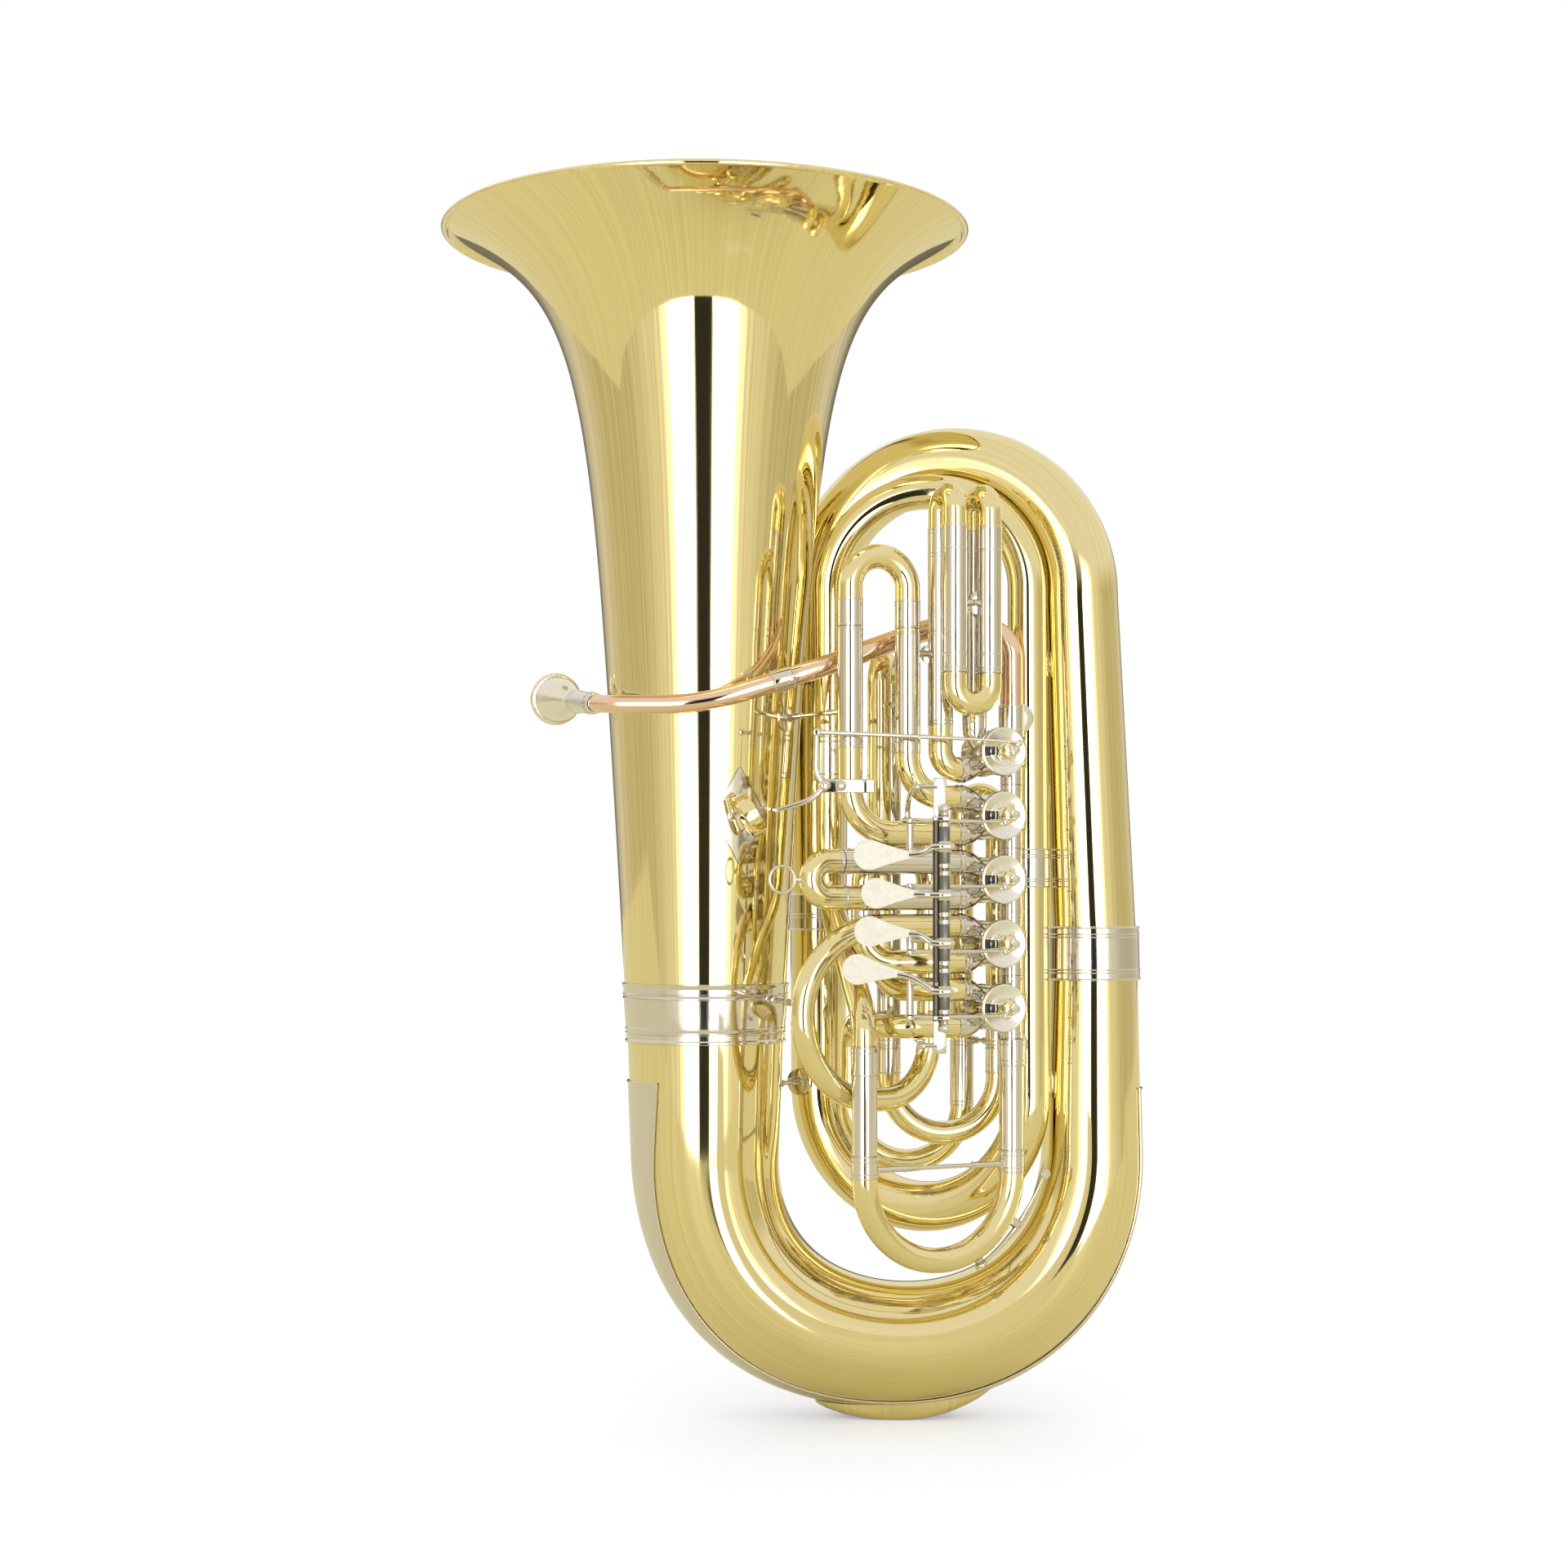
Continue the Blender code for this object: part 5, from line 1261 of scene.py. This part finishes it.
def build_thumb_ring():
    top, bottom, left, right = 515.0, 440.5, -145.5, -106.0
    middle_z = (top + bottom) / 2
    middle_x = (left + right) / 2
    layers = []
    for extra in (0.1, 1.5):
        grid = []
        for k in range(41):
            z = bottom + (top - bottom) * k / 40
            share = 1 - abs(z - middle_z) / (middle_z - bottom)
            half = 0.6 + (right - left) / 2 * share
            radius = bell_radius(z) + extra
            row = []
            for j in range(25):
                x = middle_x + half * (j / 12 - 1) + LEG_X
                row.append(Vector((x - LEG_X, -math.sqrt(radius * radius - x * x), z)))
            grid.append(row)
        layers.append(grid)
    bm = bmesh.new()
    sheet(bm, *layers, upright=True)
    facing = Vector((0.33, -0.944, 0)).normalized()
    seat = Vector((-LEG_X, 0, middle_z)) + facing * (bell_radius(middle_z) + 1.4)
    turned(bm, seat, facing, [(-0.5, 0), (-0.5, 5.0), (0.6, 5.0), (1.2, 3.8), (4.6, 3.6), (4.6, 0)], 32)
    piece("thumb_ring_plate", bm, NICKEL, "horn", ["thumb_ring"])
    # A thin dark line round the plate's edge: painted shade where the plate meets the bell, drawn in the dark
    # steel material
    edge = [row[0] for row in layers[0]] + [row[-1] for row in reversed(layers[0])]
    bm = bmesh.new()
    sweep(bm, edge + edge[:1], 0.45, 0, 12)
    piece("thumb_ring_painted_edge_shade", bm, DARK)
    hoop = seat + Vector((0.6, -0.8, 0)) * 19.5
    lean = Vector((0.85, 0.13, 0.51)).normalized()
    bm = bmesh.new()
    band = [(-5.4, 15.9), (-5.5, 16.6), (-5.0, 17.3), (-4.2, 17.4), (4.2, 17.4), (5.0, 17.3), (5.5, 16.6),
            (5.4, 15.9), (4.8, 15.6), (-4.8, 15.6)]
    turned(bm, hoop, lean, band, 72, closed=True)
    tongue = Vector((0.3, 0.1, -0.95)).normalized()
    bar = [seat + facing * 5.6 - tongue * 14, seat + facing * 2.8, seat + facing * 5.6 + tongue * 12]
    sweep(bm, smooth_path(bar, 3), 3.2, 0, 20, facing, (0.3, 1))
    stem = seat + facing * 3
    sweep(bm, [stem, hoop + (stem - hoop).normalized() * 16.2], 2.6, 0, 20)
    piece("thumb_ring_hoop", bm, BRASS)


def build_braces():
    """Stays between the tubes, some with a thin flange."""
    bm = bmesh.new()
    bell_spot = Vector((-89, -40, 556))
    flange(bm, bell_spot, (0.853, -0.52, 0), 12)
    brace(bm, bell_spot, (-46.6, -99.2, 556.5), 1.7, 2.3, 18)
    brace(bm, (-103, -44, 335), (-84.5, -114, 334), 1.8, 2.5, 16)
    brace(bm, (-98, 18, 264), (-80, 48, 264), 1.8, 2.6, 8)
    flange(bm, (-79.5, 43, 264), (-0.5, -0.86, 0), 11)
    for z in (600, 266):
        flange(bm, (119.5, -19, z), (-0.3, -0.95, 0), 10.5)
        brace(bm, (THIRD_LEG[0] + 12, THIRD_LEG[1] + 8, z), (122, -6, z), 2.0, 2.6, 4)
    first, second = in_row(44, 640, 26), in_row(15, 640, 26)
    brace(bm, first - ALONG * 9.2, second + ALONG * 9.2, 1.6, 2.2, 3)
    flange(bm, second + ALONG * 8.6 - NORMAL * 1.5, ALONG * 0.6 + NORMAL, 9.0, 0.7)
    first, second = in_row(72, 602), in_row(44, 602)
    brace(bm, first - ALONG * 9.4, second + ALONG * 9.2, 1.6, 2.4, 3)
    flange(bm, second + ALONG * 9.0 - NORMAL * 1.0, ALONG * 0.5 + NORMAL, 7.4, 0.7)
    brace(bm, (60.8, 9, 300), (71.5, -1.5, 300), 1.6, 2.4, 3)
    brace(bm, in_row(72, 566, -9.4), (-8.0, -25.0, 566), 1.6, 2.2, 6)
    brace(bm, (-55.4, -2.6, 590), (-61.6, 37.5, 590), 1.8, 2.6, 8)
    piece("braces", bm, NICKEL)


# The room


def light_round(tree, parts):
    """The room's light by angle from the front, in upright bands, a little uneven as cloth is."""
    flipped = worked(tree, "MULTIPLY", parts.outputs["Y"], -1)
    angle = worked(tree, "ARCTAN2", parts.outputs["X"], flipped)
    share = worked(tree, "DIVIDE", worked(tree, "ABSOLUTE", angle), math.pi)
    ramp = node(tree, "ShaderNodeValToRGB")
    stops = ramp.color_ramp.elements
    while len(stops) < len(LIGHT_ROUND):
        stops.new(0.5)
    for stop, (degrees, light) in zip(stops, LIGHT_ROUND):
        stop.position = degrees / 180
        stop.color = (*light, 1)
    put(ramp, "Fac", share)
    folds = node(tree, "ShaderNodeTexNoise", noise_dimensions="1D")
    put(folds, "Scale", 70.0)
    put(folds, "Detail", 3.0)
    put(folds, "W", share)
    shade = spread(tree, folds.outputs["Fac"], 0.84, 1.14)
    return mixed(tree, 1.0, ramp.outputs["Color"], shade, blend_type="MULTIPLY")


def build_world():
    """Soft boxes round the instrument and a plain roof. The camera itself sees plain white."""
    world = bpy.data.worlds.new("studio")
    bpy.context.scene.world = world
    world.use_nodes = True
    tree = world.node_tree
    parts = node(tree, "ShaderNodeSeparateXYZ")
    put(parts, "Vector", node(tree, "ShaderNodeTexCoord").outputs["Generated"])
    high = node(tree, "ShaderNodeMapRange")
    put(high, "From Min", ROOF_FROM)
    put(high, "From Max", ROOF_TO)
    put(high, "Value", parts.outputs["Z"])
    light = mixed(tree, high.outputs["Result"], light_round(tree, parts), ROOF_LIGHT)
    seen = node(tree, "ShaderNodeLightPath").outputs["Is Camera Ray"]
    back = tree.nodes["Background"]
    put(back, "Color", mixed(tree, seen, light, BACKDROP))
    put(back, "Strength", WORLD_STRENGTH)


def build_floor():
    """A pale floor that glows a little for the camera, as the photo's background is pure white."""
    bm = bmesh.new()
    bmesh.ops.create_grid(bm, x_segments=8, y_segments=8, size=FLOOR_HALF)
    material, tree, shader = new_material("floor_white")
    noise = node(tree, "ShaderNodeTexNoise")
    put(noise, "Scale", 3.0)
    put(shader, "Roughness", spread(tree, noise.outputs["Fac"], 0.55, 0.65))
    seen = node(tree, "ShaderNodeLightPath").outputs["Is Camera Ray"]
    put(shader, "Base Color", mixed(tree, seen, FLOOR_CAST, FLOOR_SEEN))
    put(shader, "Emission Strength", worked(tree, "MULTIPLY", seen, 0.36))
    put(shader, "Emission Color", (0.81, 0.81, 1, 1))
    floor = new_object("floor", bm, material)
    floor.location = FLOOR_PLACE


def build_reflector():
    """A cream card before the lower bow, seen only in the brass."""
    bm = bmesh.new()
    bm.faces.new([bm.verts.new((x, REFLECTOR_Y, z)) for x, z in REFLECTOR])
    material, _, shader = new_material("reflector_cream")
    put(shader, "Base Color", (0, 0, 0, 1))
    put(shader, "Roughness", 1.0)
    put(shader, "Emission Color", (0.94, 0.87, 0.66, 1))
    put(shader, "Emission Strength", 0.85)
    card = new_object("reflector", bm, material)
    card.visible_camera = card.visible_diffuse = card.visible_shadow = False


def place_camera():
    data = bpy.data.cameras.new("camera")
    data.sensor_width = 36.0
    data.lens = CAMERA_LENS
    data.shift_y = CAMERA_RISE
    camera = bpy.data.objects.new("camera", data)
    camera.location = CAMERA_PLACE
    camera.rotation_euler = (math.radians(90), 0, 0)
    bpy.context.scene.collection.objects.link(camera)
    bpy.context.scene.camera = camera


place_camera()
build_world()
build_floor()
build_reflector()
build_bell()
build_outer_bugle()
for valve in VALVE_Z:
    build_casing(valve)
    build_rotor(valve)
    build_link_rod(valve)
build_valve_tubes()
build_slides()
build_main_slide()
build_leadpipe()
build_levers()
build_axle_brackets()
build_thumb_lever()
build_thumb_ring()
build_braces()
bpy.context.scene.view_settings.view_transform = "Standard"
